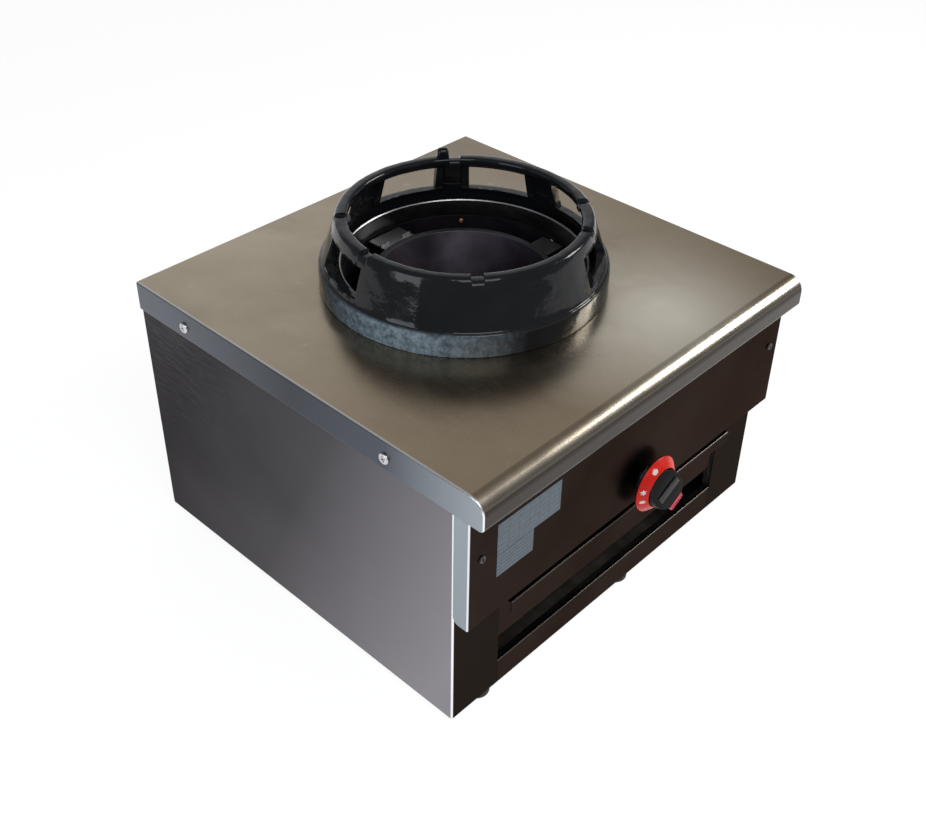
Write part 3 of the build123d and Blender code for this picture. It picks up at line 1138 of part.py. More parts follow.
def make_pipe_clips():
    """Bent strap clips from the right side panel round the supply pipe."""
    clips = []
    for depth in CLIP_DEPTHS:
        y = (at_depth(depth), at_depth(depth) + CLIP_WIDTH)
        hoop = tube((PIPE_X, y[0], KNOB_Z), (0, 1, 0), PIPE_RADIUS + CLIP_SHEET + SMALL_GAP,
                    PIPE_RADIUS + SMALL_GAP, CLIP_WIDTH)
        arm_z = (KNOB_Z - CLIP_SHEET / 2, KNOB_Z + CLIP_SHEET / 2)
        arm = block((PIPE_X + PIPE_RADIUS + CLIP_SHEET / 2, BODY_INNER), y, arm_z)
        pad = block((BODY_INNER - CLIP_SHEET, BODY_INNER), y, (arm_z[0] - CLIP_PAD, arm_z[1]))
        clips.append(hoop + arm + pad)
    return Compound(children=clips)


def make_feed_tube():
    """Copper tube from the valve's top boss to the injector elbow."""
    y = FEED_BOSS_Y
    rise = MIXER_Z
    start = (KNOB_X, y, KNOB_Z + VALVE_RADIUS + 1)
    end = (0, ELBOW_BACK_Y - ELBOW_SIZE + 3, rise)
    return swept([start, (KNOB_X, y, rise), (0, y + 22, rise), end], [FEED_BEND, FEED_BEND], FEED_RADIUS,
                 FEED_RADIUS - 1)


def make_pilot_tube():
    """Thin tube from the valve's small boss to the pilot burner."""
    y = PILOT_BOSS_Y
    run_x = TIP_OFFSET_X + 14
    tip_y = BURNER_Y + TIP_OFFSET_Y
    low = SHELF_Z - 45
    points = [
        (KNOB_X + VALVE_RADIUS + 2, y, KNOB_Z), (run_x, y, KNOB_Z), (run_x, tip_y, KNOB_Z),
        (TIP_OFFSET_X, tip_y, low - 6), (TIP_OFFSET_X, tip_y, SHELF_Z - TIP_TAIL),
    ]
    return swept(points, [8, 8, 8], PILOT_PIPE_RADIUS)


def make_thermocouple_lead():
    """Thin lead from the back of the valve to the thermocouple."""
    tip_y = BURNER_Y + TIP_OFFSET_Y
    run_z = KNOB_Z - 16
    points = [
        (KNOB_X, VALVE_BACK_Y + 4, KNOB_Z), (KNOB_X, VALVE_BACK_Y + 24, KNOB_Z),
        (-TIP_OFFSET_X, VALVE_BACK_Y + 60, run_z), (-TIP_OFFSET_X, tip_y, run_z),
        (-TIP_OFFSET_X, tip_y, SHELF_Z - 22),
    ]
    return swept(points, [10, 10, 10], LEAD_RADIUS)


# ---------------------------------------------------------------- feet and screws
def make_foot(place):
    """Black rubber foot with a recess for its screw."""
    foot = rod(place, UP, FOOT_RADIUS, FOOT_HEIGHT)
    foot = fillet(foot.edges().sort_by(Axis.Z)[0], 3)
    foot -= rod(place, UP, 6.5, 6)
    return foot - rod(place, UP, SCREW_HOLE, FOOT_HEIGHT + 5)


def make_foot_screws():
    """Screws up through the feet and the base, each with its nut."""
    screws = []
    for x, y, _ in FOOT_PLACES.values():
        screw = rod((x, y, 3), UP, 5.5, 3)
        screw += rod((x, y, 5), UP, SCREW_RADIUS, BODY_BOTTOM + 8)
        screw += hexagon((x, y, BODY_BOTTOM + 2 * BODY_SHEET), UP, SMALL_NUT_RADIUS, SMALL_NUT_HEIGHT)
        screws.append(screw)
    return Compound(children=screws)


def make_side_screws():
    """Domed cross screws in the worktop's flanges."""
    screws = []
    for places, direction in ((SIDE_SCREWS, (1, 0, 0)), (LEFT_SCREWS, (-1, 0, 0)),
                              (BACK_FLANGE_SCREWS, (0, 1, 0))):
        for place in places:
            screws.append(cross_screw(place, direction, SCREW_HEAD_RADIUS, SCREW_HEAD_HEIGHT,
                                      SCREW_RADIUS, 10))
    return Compound(children=screws)


def make_side_nuts():
    """Nuts inside the body on the worktop's screws."""
    nuts = []
    for x, y, z in SIDE_SCREWS + LEFT_SCREWS:
        side = 1 if x > 0 else -1
        start = (side * BODY_INNER, y, z)
        nut = hexagon(start, (-side, 0, 0), LARGE_NUT_RADIUS, LARGE_NUT_HEIGHT)
        nuts.append(nut - rod((side * (BODY_INNER + 1), y, z), (-side, 0, 0), SCREW_RADIUS + RUN_GAP, 10))
    for x, _, z in BACK_FLANGE_SCREWS:
        nut = hexagon((x, BODY_BACK_Y, z), FORWARDS, LARGE_NUT_RADIUS, LARGE_NUT_HEIGHT)
        nuts.append(nut - rod((x, BODY_BACK_Y + 1, z), FORWARDS, SCREW_RADIUS + RUN_GAP, 10))
    return Compound(children=nuts)


def make_panel_screws():
    """Long screws through the control panel into the posts, each with its nut."""
    screws = []
    for place in PANEL_SCREWS:
        screw = cross_screw(place, FORWARDS, SMALL_HEAD_RADIUS, SMALL_HEAD_HEIGHT, SCREW_RADIUS - 0.4,
                            PANEL_PROUD + 8)
        nut_place = (place[0], POST_Y + BODY_SHEET, place[2])
        screws.append(screw + hexagon(nut_place, (0, 1, 0), SMALL_NUT_RADIUS, SMALL_NUT_HEIGHT))
    return Compound(children=screws)


def make_back_screws():
    """Short screws that hold the back panel on the side panels' returns."""
    return Compound(children=[
        cross_screw(place, (0, 1, 0), SMALL_HEAD_RADIUS, 2.4, SCREW_RADIUS - 0.4, 6)
        for place in BACK_PANEL_SCREWS
    ])


def make_bracket_screws():
    """Screws that hold the bowl's brackets on the shelf, each with its nut."""
    screws = []
    for x, y, z in BRACKET_SCREWS:
        top = z + BRACKET_SHEET
        screw = cross_screw((x, y, top), UP, SMALL_HEAD_RADIUS, SMALL_HEAD_HEIGHT, SCREW_RADIUS,
                            BRACKET_SHEET + SHELF_SHEET + 6)
        nut_place = (x, y, z - SHELF_SHEET)
        screws.append(screw + hexagon(nut_place, (0, 0, -1), SMALL_NUT_RADIUS, SMALL_NUT_HEIGHT))
    return Compound(children=screws)


# ---------------------------------------------------------------- all pieces
def make_all():
    """Every piece under its node name."""
    side_panel = make_side_panel()
    foot_holes = holes_for(list(FOOT_PLACES.values()), UP, SCREW_HOLE, 60)
    left_runner = make_runner()
    pieces = {
        "worktop": make_worktop(),
        "left_side_panel": side_panel - foot_holes,
        "right_side_panel": mirror(side_panel, about=Plane.YZ) - foot_holes,
        "back_panel": make_back_panel(),
        "base_pan": make_base_pan(),
        "bottom_rail": make_bottom_rail(),
        "control_panel": make_control_panel(),
        "label_plate_upper": make_label(LABEL_WIDTH, LABEL_HEIGHT, LABEL_DROP),
        "label_plate_lower": make_label(SMALL_LABEL_WIDTH, SMALL_LABEL_HEIGHT,
                                        LABEL_DROP + LABEL_HEIGHT + LABEL_GAP),
        "burner_collar": make_collar(),
        "well_wall": make_well_wall(),
        "collar_rivets": make_rivets(),
        "wok_ring": make_wok_ring(),
        "burner_bowl": make_bowl(),
        "burner_shelf": make_shelf(),
        "burner_head": make_burner_head(),
        "burner_cap": make_burner_cap(),
        "mixing_tube": make_mixing_tube(),
        "air_shutter": make_air_shutter(),
        "injector": make_injector(),
        "injector_elbow": make_injector_elbow(),
        "elbow_bracket": make_elbow_bracket(),
        "burner_bolts": make_burner_bolts(),
        "pilot_burner": make_tip(1, 5.0),
        "thermocouple": make_tip(-1, 3.0),
        "drip_tray": make_tray(),
        "tray_runner_left": left_runner,
        "tray_runner_right": mirror(left_runner, about=Plane.YZ),
        "valve_body": make_valve_body(),
        "valve_plug": make_valve_plug(),
        "valve_stem": make_valve_stem(),
        "magnet_pin": make_magnet_pin(),
        "stem_spring": make_stem_spring(),
        "panel_nut": make_panel_nut(),
        "knob_dial": make_dial(),
        "knob_grip": make_grip(),
        "knob_pointer": make_pointer(),
        "gas_inlet": make_gas_inlet(),
        "inlet_locknut": make_locknut(),
        "supply_pipe": make_supply_pipe(),
        "pipe_clips": make_pipe_clips(),
        "feed_tube": make_feed_tube(),
        "pilot_tube": make_pilot_tube(),
        "thermocouple_lead": make_thermocouple_lead(),
        "foot_screws": make_foot_screws(),
        "worktop_screws": make_side_screws(),
        "worktop_nuts": make_side_nuts(),
        "panel_screws": make_panel_screws(),
        "back_panel_screws": make_back_screws(),
        "bracket_screws": make_bracket_screws(),
    }
    pieces.update(make_brackets())
    for name, place in FOOT_PLACES.items():
        pieces["foot_" + name] = make_foot(place)
    return pieces


def main():
    os.makedirs("parts", exist_ok=True)
    for name, piece in make_all().items():
        export_step(piece, f"parts/{name}.step")


main()
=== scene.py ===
# %% [markdown]
# # A wok range, dressed for its portrait
# The range is a square steel box with one big gas burner. A black cast ring stands on
# the worktop and holds the wok. The solids come from the CAD model, which is loaded
# here as a fixed frame: nothing in it is moved, so every joint keeps working. This
# lesson gives each piece its finish, and models again the pieces whose charm lies in
# soft edges, such as the casting and the knob.

# %% Load the frame
import json
import math
import bpy
from mathutils import Matrix, Vector


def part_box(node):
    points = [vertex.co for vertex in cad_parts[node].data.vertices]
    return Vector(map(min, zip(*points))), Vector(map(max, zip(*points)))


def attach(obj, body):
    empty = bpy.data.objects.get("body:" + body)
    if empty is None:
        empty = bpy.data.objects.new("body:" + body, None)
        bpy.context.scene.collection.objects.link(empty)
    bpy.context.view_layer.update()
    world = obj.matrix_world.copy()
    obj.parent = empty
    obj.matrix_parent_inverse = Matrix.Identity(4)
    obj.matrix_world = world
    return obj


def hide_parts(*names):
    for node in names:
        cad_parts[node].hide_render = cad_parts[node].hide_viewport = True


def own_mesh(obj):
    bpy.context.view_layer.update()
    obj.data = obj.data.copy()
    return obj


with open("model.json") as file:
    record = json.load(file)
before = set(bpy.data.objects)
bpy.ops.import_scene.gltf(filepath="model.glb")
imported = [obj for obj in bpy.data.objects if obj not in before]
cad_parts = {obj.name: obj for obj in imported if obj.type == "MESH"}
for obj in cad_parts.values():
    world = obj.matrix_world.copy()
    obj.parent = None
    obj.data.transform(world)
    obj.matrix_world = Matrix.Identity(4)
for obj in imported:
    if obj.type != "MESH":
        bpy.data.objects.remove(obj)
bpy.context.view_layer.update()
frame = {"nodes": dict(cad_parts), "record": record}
scene = bpy.context.scene
nodes = frame["nodes"]
for stand_in in list(bpy.data.materials):
    bpy.data.materials.remove(stand_in)
print(len(nodes), "pieces come from the CAD model")

# %% [markdown]
# The places that this lesson needs are read from the solids, so that a changed size in
# the CAD model carries over. The worktop gives the level of the upper face, and the
# cast ring gives the burner's centre line.

# %% Places on the range
worktop_low, worktop_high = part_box("worktop")
ring_low, ring_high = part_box("wok_ring")
TOP = worktop_high.z
BURNER = Vector(((ring_low.x + ring_high.x) / 2, (ring_low.y + ring_high.y) / 2, TOP))
dial_low, dial_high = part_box("knob_dial")
KNOB = Vector(((dial_low.x + dial_high.x) / 2, dial_high.y, (dial_low.z + dial_high.z) / 2))
print("worktop level", round(TOP, 4), "burner", [round(v, 4) for v in BURNER])

# %% [markdown]
# The camera stands to the left of the range and looks down at it. Its place was found
# by fitting a pinhole camera to the corners of the worktop in the photograph. A turn
# (azimuth), a tilt (elevation) and a small roll give three axes, and those are the
# columns of the camera's matrix.

# %% Camera
def camera_axes(azimuth, elevation, roll):
    """Right, up and back directions of a camera, from angles in degrees."""
    a, e, r = (math.radians(v) for v in (azimuth, elevation, roll))
    back = Vector((math.sin(a) * math.cos(e), -math.cos(a) * math.cos(e), math.sin(e)))
    right = (-back).cross(Vector((0, 0, 1))).normalized()
    up = right.cross(-back)
    return (math.cos(r) * right + math.sin(r) * up, math.cos(r) * up - math.sin(r) * right, back)


eye = Vector((-0.985, worktop_high.y - 1.205, TOP + 0.824))
right, up, back = camera_axes(-46.83, 35.86, 0.84)
lens = bpy.data.cameras.new("portrait")
lens.sensor_width = 36.0
lens.lens = 36.0 * 1245 / 926
lens.shift_y = -46 / 926
camera = bpy.data.objects.new("portrait", lens)
scene.collection.objects.link(camera)
camera.matrix_world = Matrix.Translation(eye) @ Matrix((right, up, back)).transposed().to_4x4()
scene.camera = camera
scene.view_settings.view_transform = "Standard"
print("lens", round(lens.lens, 1), "mm")

# %% [markdown]
# Every finish below is a small tree of shader nodes. A few helpers keep the trees
# short: one starts a material, one gives coordinates fixed to the object, and the
# others add a noise, a ramp of colours and a bump. Object coordinates are in metres,
# so a noise scale of 100 makes blotches of about a centimetre.

# %% Helpers for shader nodes
class Finish:
    """A material that is built node by node around one Principled shader."""

    def __init__(self, name, colour, metallic=0.0, roughness=0.5, **sockets):
        self.material = bpy.data.materials.new(name)
        self.material.use_nodes = True
        self.tree = self.material.node_tree
        self.shader = self.tree.nodes["Principled BSDF"]
        self.material.diffuse_color = (*colour, 1.0)
        values = {"Base Color": (*colour, 1.0), "Metallic": metallic, "Roughness": roughness}
        values.update(sockets)
        for socket, value in values.items():
            self.shader.inputs[socket].default_value = value
        self.coordinates = self.tree.nodes.new("ShaderNodeTexCoord").outputs["Object"]

    def join(self, source, target):
        self.tree.links.new(source, target)

    def mapped(self, scale=(1, 1, 1), location=(0, 0, 0), rotation=(0, 0, 0)):
        node = self.tree.nodes.new("ShaderNodeMapping")
        node.inputs["Scale"].default_value = scale
        node.inputs["Location"].default_value = location
        node.inputs["Rotation"].default_value = rotation
        self.join(self.coordinates, node.inputs["Vector"])
        return node.outputs["Vector"]

    def noise(self, scale, detail=3.0, rough=0.5, vector=None, twist=0.0):
        node = self.tree.nodes.new("ShaderNodeTexNoise")
        node.inputs["Scale"].default_value = scale
        node.inputs["Detail"].default_value = detail
        node.inputs["Roughness"].default_value = rough
        node.inputs["Distortion"].default_value = twist
        self.join(vector or self.coordinates, node.inputs["Vector"])
        return node.outputs["Fac"]

    def ramp(self, value, *stops):
        node = self.tree.nodes.new("ShaderNodeValToRGB")
        elements = node.color_ramp.elements
        while len(elements) < len(stops):
            elements.new(0.5)
        for element, (place, colour) in zip(elements, stops):
            element.position = place
            element.color = (*colour, 1.0) if len(colour) == 3 else colour
        self.join(value, node.inputs["Fac"])
        return node.outputs["Color"]

    def spread(self, value, low, high, to_low, to_high):
        node = self.tree.nodes.new("ShaderNodeMapRange")
        ends = {"From Min": low, "From Max": high, "To Min": to_low, "To Max": to_high}
        for socket, number in ends.items():
            node.inputs[socket].default_value = number
        self.join(value, node.inputs["Value"])
        return node.outputs["Result"]

    def mix(self, share, first, second, blend="MIX"):
        node = self.tree.nodes.new("ShaderNodeMix")
        node.data_type = "RGBA"
        node.blend_type = blend
        for socket, value in ((node.inputs[0], share), (node.inputs[6], first), (node.inputs[7], second)):
            if isinstance(value, (int, float)):
                socket.default_value = value
            elif isinstance(value, tuple):
                socket.default_value = (*value, 1.0)
            else:
                self.join(value, socket)
        return node.outputs[2]

    def sum(self, first, second, share=1.0):
        node = self.tree.nodes.new("ShaderNodeMath")
        node.operation = "MULTIPLY_ADD"
        self.join(second, node.inputs[0])
        node.inputs[1].default_value = share
        self.join(first, node.inputs[2])
        return node.outputs[0]

    def axis(self, letter):
        node = self.tree.nodes.new("ShaderNodeSeparateXYZ")
        self.join(self.coordinates, node.inputs[0])
        return node.outputs[letter]

    def near(self, place, inner, outer, keep=(1, 1, 1)):
        """1 within `inner` of a place, falling to 0 at `outer`; axes with keep 0 don't count."""
        flat = self.tree.nodes.new("ShaderNodeVectorMath")
        flat.operation = "MULTIPLY"
        self.join(self.coordinates, flat.inputs[0])
        flat.inputs[1].default_value = keep
        gap = self.tree.nodes.new("ShaderNodeVectorMath")
        gap.operation = "DISTANCE"
        self.join(flat.outputs[0], gap.inputs[0])
        gap.inputs[1].default_value = tuple(p * k for p, k in zip(place, keep))
        return self.spread(gap.outputs["Value"], inner, outer, 1.0, 0.0)

    def along(self, direction, low, high):
        """0 to 1 along a direction, from one distance off the origin to another."""
        dot = self.tree.nodes.new("ShaderNodeVectorMath")
        dot.operation = "DOT_PRODUCT"
        self.join(self.coordinates, dot.inputs[0])
        dot.inputs[1].default_value = direction
        return self.spread(dot.outputs["Value"], low, high, 0.0, 1.0)

    def product(self, first, second):
        node = self.tree.nodes.new("ShaderNodeMath")
        node.operation = "MULTIPLY"
        self.join(first, node.inputs[0])
        self.join(second, node.inputs[1])
        return node.outputs[0]

    def size_of(self, source):
        node = self.tree.nodes.new("ShaderNodeMath")
        node.operation = "ABSOLUTE"
        self.join(source, node.inputs[0])
        return node.outputs[0]

    def bump(self, height, depth):
        node = self.tree.nodes.new("ShaderNodeBump")
        node.inputs["Distance"].default_value = depth
        node.inputs["Strength"].default_value = 1.0
        self.join(height, node.inputs["Height"])
        self.join(node.outputs["Normal"], self.shader.inputs["Normal"])

    def colour(self, source):
        self.join(source, self.shader.inputs["Base Color"])

    def roughness(self, source):
        self.join(source, self.shader.inputs["Roughness"])


print("helpers ready")

# %% [markdown]
# Stainless sheet leaves the mill with a fine grain that runs one way. Stretching a
# noise along the grain gives the streaks, which tint the metal a little, change its
# gloss and make a very low bump. Wide soft clouds on top stand for wiped grease and
# the uneven glow of a used worktop.

# %% Brushed sheet
def brushed_sheet(name, dark, light, gloss, grain=(6, 900, 900), cloud_scale=5.0, streak_depth=0.00002):
    """A sheet finish and its colour, so that more can be laid over it."""
    finish = Finish(name, light, metallic=1.0, roughness=gloss[0])
    streaks = finish.noise(1.0, 4.0, 0.6, finish.mapped(scale=grain))
    clouds = finish.noise(cloud_scale, 4.0, 0.55, twist=0.6)
    wiped = finish.mapped(scale=(1, 0.45, 1), rotation=(0, 0, 0.5))
    smears = finish.noise(cloud_scale * 5, 5.0, 0.62, wiped)
    body = finish.ramp(clouds, (0.30, dark), (0.72, light))
    marks = finish.ramp(streaks, (0.25, (0.90, 0.90, 0.90)), (0.80, (1.0, 1.0, 1.0)))
    tone = finish.mix(1.0, body, marks, "MULTIPLY")
    finish.colour(tone)
    uneven = finish.sum(finish.spread(smears, 0.3, 0.75, gloss[0], gloss[1]), streaks, 0.08)
    finish.roughness(uneven)
    finish.bump(streaks, streak_depth)
    return finish, tone


print("sheet helper ready")

# %% [markdown]
# The worktop is one folded sheet in a warm tone. Its face is painted darker towards the
# front, the back and the right, which is painted reflection, and a bright patch right of
# the ring is a painted highlight. Round the burner, blotches of darker brown are painted
# shade and reflection of the ring. The nose is a pale painted highlight above and painted
# shade below. The side flanges are a blue-grey painted reflection, pale at the front, and
# the bend between face and flange is a pale painted highlight line. All three are told
# apart by their distance from the middle of the range.

# %% Worktop
top_steel, top_tone = brushed_sheet("top_steel", (0.37, 0.315, 0.235), (0.50, 0.43, 0.325), (0.18, 0.27))
# Darker towards the front: painted reflection.
towards_front = top_steel.along((-0.35, -1.0, 0), 0.02, 0.30)
top_tone = top_steel.mix(towards_front, top_tone, (0.37, 0.29, 0.20))
# A bright patch right of the ring: painted highlight.
hot_spot_highlight = top_steel.near((0.12, -0.22, TOP), 0.02, 0.17, (0.7, 1, 1))
top_tone = top_steel.mix(hot_spot_highlight, top_tone, (0.92, 0.86, 0.72))
# Darker towards the back and the right: painted reflection.
towards_back = top_steel.along((1.0, 1.0, 0), 0.20, 0.55)
top_tone = top_steel.mix(towards_back, top_tone, (0.24, 0.20, 0.145))
towards_right = top_steel.along((1.0, -0.2, 0), 0.16, 0.34)
top_tone = top_steel.mix(towards_right, top_tone, (0.30, 0.235, 0.16))
# Darker brown blotches round the burner: painted shade and reflection of the ring.
ring_shade_blotches = top_steel.near(BURNER, 0.15, 0.34)
blotches = top_steel.noise(9.0, 3.0, 0.6, twist=0.8)
top_tone = top_steel.mix(top_steel.product(ring_shade_blotches, top_steel.spread(blotches, 0.3, 0.8, 0.25, 0.75)),
                         top_tone, (0.27, 0.215, 0.155))
worn = top_steel.noise(60.0, 5.0, 0.7)
top_tone = top_steel.mix(top_steel.spread(worn, 0.62, 0.80, 0.0, 0.35), top_tone, (0.62, 0.57, 0.48))
NOSE_START, NOSE_END = worktop_low.y + 0.016, worktop_low.y + 0.006
nose_front = top_steel.spread(top_steel.axis("Y"), NOSE_START, NOSE_END, 0.0, 1.0)
NOSE_LIGHT, NOSE_DARK = TOP - 0.002, TOP - 0.014
nose_shade = top_steel.spread(top_steel.axis("Z"), NOSE_LIGHT, NOSE_DARK, 0.0, 1.0)
# The upper nose is a pale painted highlight and its lower part painted shade.
top_tone = top_steel.mix(nose_front, top_tone, (0.64, 0.57, 0.47))
top_tone = top_steel.mix(top_steel.product(nose_front, nose_shade), top_tone, (0.044, 0.036, 0.030))
side = top_steel.size_of(top_steel.axis("X"))
# The flanges' blue-grey, pale at the front and dark in the middle, is painted reflection.
flange_reflection = top_steel.ramp(
    top_steel.along((0, -1, 0), -0.25, 0.31), (0.0, (0.10, 0.11, 0.13)), (0.45, (0.035, 0.04, 0.052)),
    (0.72, (0.07, 0.08, 0.10)), (1.0, (0.34, 0.38, 0.42)))
BEND_START, BEND_END = 0.2972, 0.2980
FLANGE_START, FLANGE_END = 0.2992, 0.2997
# A pale line on the bend between face and flange: painted highlight.
bend_highlight = top_steel.spread(side, BEND_START, BEND_END, 0.0, 1.0)
top_tone = top_steel.mix(bend_highlight, top_tone, (0.95, 0.95, 0.93))
on_flange = top_steel.spread(side, FLANGE_START, FLANGE_END, 0.0, 1.0)
top_tone = top_steel.mix(on_flange, top_tone, flange_reflection)
top_steel.colour(top_tone)
print("worktop finish with", len(top_steel.tree.nodes), "nodes")

# %% [markdown]
# The side panels are darker and cooler, which is painted shade, and they grow lighter
# towards the floor and the front as painted reflection. Their front posts, the control
# panel, the rail and the tray's front share one brown-grey painted shade, and the tray's
# inside is a lighter grey. The control panel's side returns are a pale blue-grey painted
# reflection. Where a sheet is folded, the bend catches light as a thin bright line, so a
# line near each fold is made paler as a painted highlight. A grey specular tint on both
# sheets dims their mirrored studio, which is painted shade too.

# %% Body and front
BEND = 0.0009


def bend_light(finish, tone, x, y, inner, outer, colour):
    """A tone with a pale upright line where a sheet is folded at x and y."""
    corner = (x + math.copysign(BEND, -x), y + BEND, 0)
    return finish.mix(finish.near(corner, inner, outer, (1, 1, 0)), tone, colour)


# The side panels' dark, cool tone is painted shade.
body_steel, body_tone = brushed_sheet(
    "body_steel", (0.042, 0.042, 0.047), (0.066, 0.066, 0.072), (0.26, 0.36), (900, 6, 900), 3.0)
# Lighter towards the floor and the front: painted reflection.
lower = body_steel.along((0, -1.0, -0.5), -0.35, 0.20)
body_tone = body_steel.mix(1.0, body_tone, body_steel.ramp(
    lower, (0.0, (0.0, 0.0, 0.0)), (0.45, (0.045, 0.044, 0.047)), (1.0, (0.27, 0.26, 0.28))), "ADD")
back_corner = (-0.298, 0.25, 0.32)
scratches = body_steel.noise(1.0, 5.0, 0.7, body_steel.mapped(scale=(700, 40, 420), rotation=(0.35, 0, 0)))
rubbed = body_steel.product(body_steel.near(back_corner, 0.02, 0.20),
                            body_steel.spread(scratches, 0.40, 0.80, 0.1, 0.7))
body_tone = body_steel.mix(rubbed, body_tone, (0.13, 0.13, 0.14))
front_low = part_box("left_side_panel")[0]
# The front posts' dark brown-grey is painted shade.
front_shade_tone = (0.026, 0.023, 0.021)
front_face = body_steel.spread(body_steel.axis("Y"), front_low.y + 0.0013, front_low.y + 0.0018, 1.0, 0.0)
body_tone = body_steel.mix(front_face, body_tone, front_shade_tone)
for edge in (front_low.x, -front_low.x):
    body_tone = bend_light(body_steel, body_tone, edge, front_low.y, 0.0011, 0.0016, (0.93, 0.94, 0.96))
body_steel.colour(body_tone)

# The front sheet's dark brown-grey is painted shade.
front_steel, front_colour = brushed_sheet(
    "front_steel", (0.028, 0.022, 0.0195), (0.046, 0.036, 0.033), (0.20, 0.30), cloud_scale=4.0)
panel_low, panel_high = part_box("control_panel")
# The control panel's side returns: pale blue-grey painted reflection.
return_reflection = front_steel.product(
    front_steel.spread(front_steel.size_of(front_steel.axis("X")), 0.2968, 0.2974, 0.0, 1.0),
    front_steel.spread(front_steel.axis("Y"), panel_low.y + 0.0016, panel_low.y + 0.0020, 0.0, 1.0))
tray_low, tray_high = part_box("drip_tray")
TRAY_INSIDE = front_low.y + 0.0041
tray_inside = front_steel.spread(front_steel.axis("Y"), TRAY_INSIDE - 0.0007, TRAY_INSIDE - 0.0001, 0.0, 1.0)
front_colour = front_steel.mix(tray_inside, front_colour, (0.13, 0.125, 0.12))
front_colour = front_steel.mix(return_reflection, front_colour, (0.34, 0.38, 0.42))
for edge in (panel_low.x, panel_high.x):
    front_colour = bend_light(front_steel, front_colour, edge, panel_low.y, BEND, 0.0014, (0.80, 0.82, 0.85))
rail_low, rail_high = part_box("bottom_rail")
# Paler lines at the tray's and the rail's folds: painted highlight.
for edge_y, edge_z in ((tray_low.y, tray_high.z), (rail_low.y, rail_high.z)):
    fold = front_steel.near((0, edge_y, edge_z), BEND, 2 * BEND, (0, 1, 1))
    front_colour = front_steel.mix(fold, front_colour, (0.11, 0.10, 0.09))
front_steel.colour(front_colour)
# A grey specular tint dims the mirrored studio on these sheets: painted shade.
for steel in (front_steel, body_steel):
    steel.shader.inputs["Specular Tint"].default_value = (0.45, 0.43, 0.42, 1)
print("body finish with", len(body_steel.tree.nodes), "nodes, front with", len(front_steel.tree.nodes))

# %% [markdown]
# Inside, the sheets are plainer. The collar round the well is dark and grows lighter
# towards its top, which is painted shade down the well, and its upper hem is a bright
# painted highlight line. The burner bowl has the dark violet bloom of hot steel with a
# pale painted highlight on its lip, and the raised tips of the brackets are painted
# highlights too.

# %% Inner sheets
inner_steel = brushed_sheet("inner_steel", (0.16, 0.14, 0.12), (0.28, 0.25, 0.22), (0.35, 0.5),
                            cloud_scale=12)[0]
collar_steel, collar_tone = brushed_sheet(
    "collar_steel", (0.045, 0.045, 0.048), (0.095, 0.095, 0.102), (0.25, 0.4), cloud_scale=20)
collar_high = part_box("burner_collar")[1]
# Lighter towards the top, darker down the well: painted shade. The bright hem line: painted highlight.
hem = collar_steel.spread(collar_steel.axis("Z"), collar_high.z - 0.0020, collar_high.z - 0.0008, 0.0, 1.0)
upper = collar_steel.spread(collar_steel.axis("Z"), collar_high.z - 0.030, collar_high.z, 0.0, 1.0)
collar_tone = collar_steel.mix(upper, collar_tone, (0.14, 0.137, 0.133))
collar_steel.colour(collar_steel.mix(hem, collar_tone, (0.42, 0.42, 0.43)))
bowl_steel, bowl_tone = brushed_sheet(
    "bowl_steel", (0.032, 0.027, 0.036), (0.078, 0.066, 0.084), (0.4, 0.55), cloud_scale=18)
bowl_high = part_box("burner_bowl")[1]
# A paler line along the bowl's lip: painted highlight.
lip = bowl_steel.spread(bowl_steel.axis("Z"), bowl_high.z - 0.0012, bowl_high.z - 0.0004, 0.0, 1.0)
bowl_steel.colour(bowl_steel.mix(lip, bowl_tone, (0.10, 0.10, 0.105)))
bracket_steel, bracket_tone = brushed_sheet(
    "bracket_steel", (0.035, 0.042, 0.05), (0.065, 0.08, 0.095), (0.25, 0.4), cloud_scale=20)
bracket_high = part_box("bowl_bracket_right")[1]
# Paler raised tips on the brackets: painted highlight.
TIP_START, TIP_END = bracket_high.z - 0.0035, bracket_high.z - 0.0020
tips = bracket_steel.spread(bracket_steel.axis("Z"), TIP_START, TIP_END, 0.0, 1.0)
bracket_steel.colour(bracket_steel.mix(tips, bracket_tone, (0.30, 0.30, 0.31)))
print("four inner finishes")

# %% [markdown]
# The smaller finishes: cast iron under gloss enamel, bare castings, plated screws,
# copper, brass, pipe, plastics and rubber. Each has some change of tone and gloss, at
# the scale that the real stuff has, so that no piece is one flat colour.

# %% Small finishes
def mottled(name, dark, light, gloss, metallic=0.0, scale=60.0, depth=0.0001, **sockets):
    finish = Finish(name, light, metallic, gloss[0], **sockets)
    spots = finish.noise(scale, 5.0, 0.6)
    finish.colour(finish.ramp(spots, (0.32, dark), (0.70, light)))
    finish.roughness(finish.spread(finish.noise(scale * 2.3, 3.0), 0.3, 0.7, *gloss))
    if depth:
        finish.bump(spots, depth)
    return finish


ring_iron = mottled("ring_iron", (0.007, 0.0075, 0.009), (0.012, 0.013, 0.015), (0.06, 0.12), 0.0, 17, 0.0007,
                    **{"Specular IOR Level": 0.3})
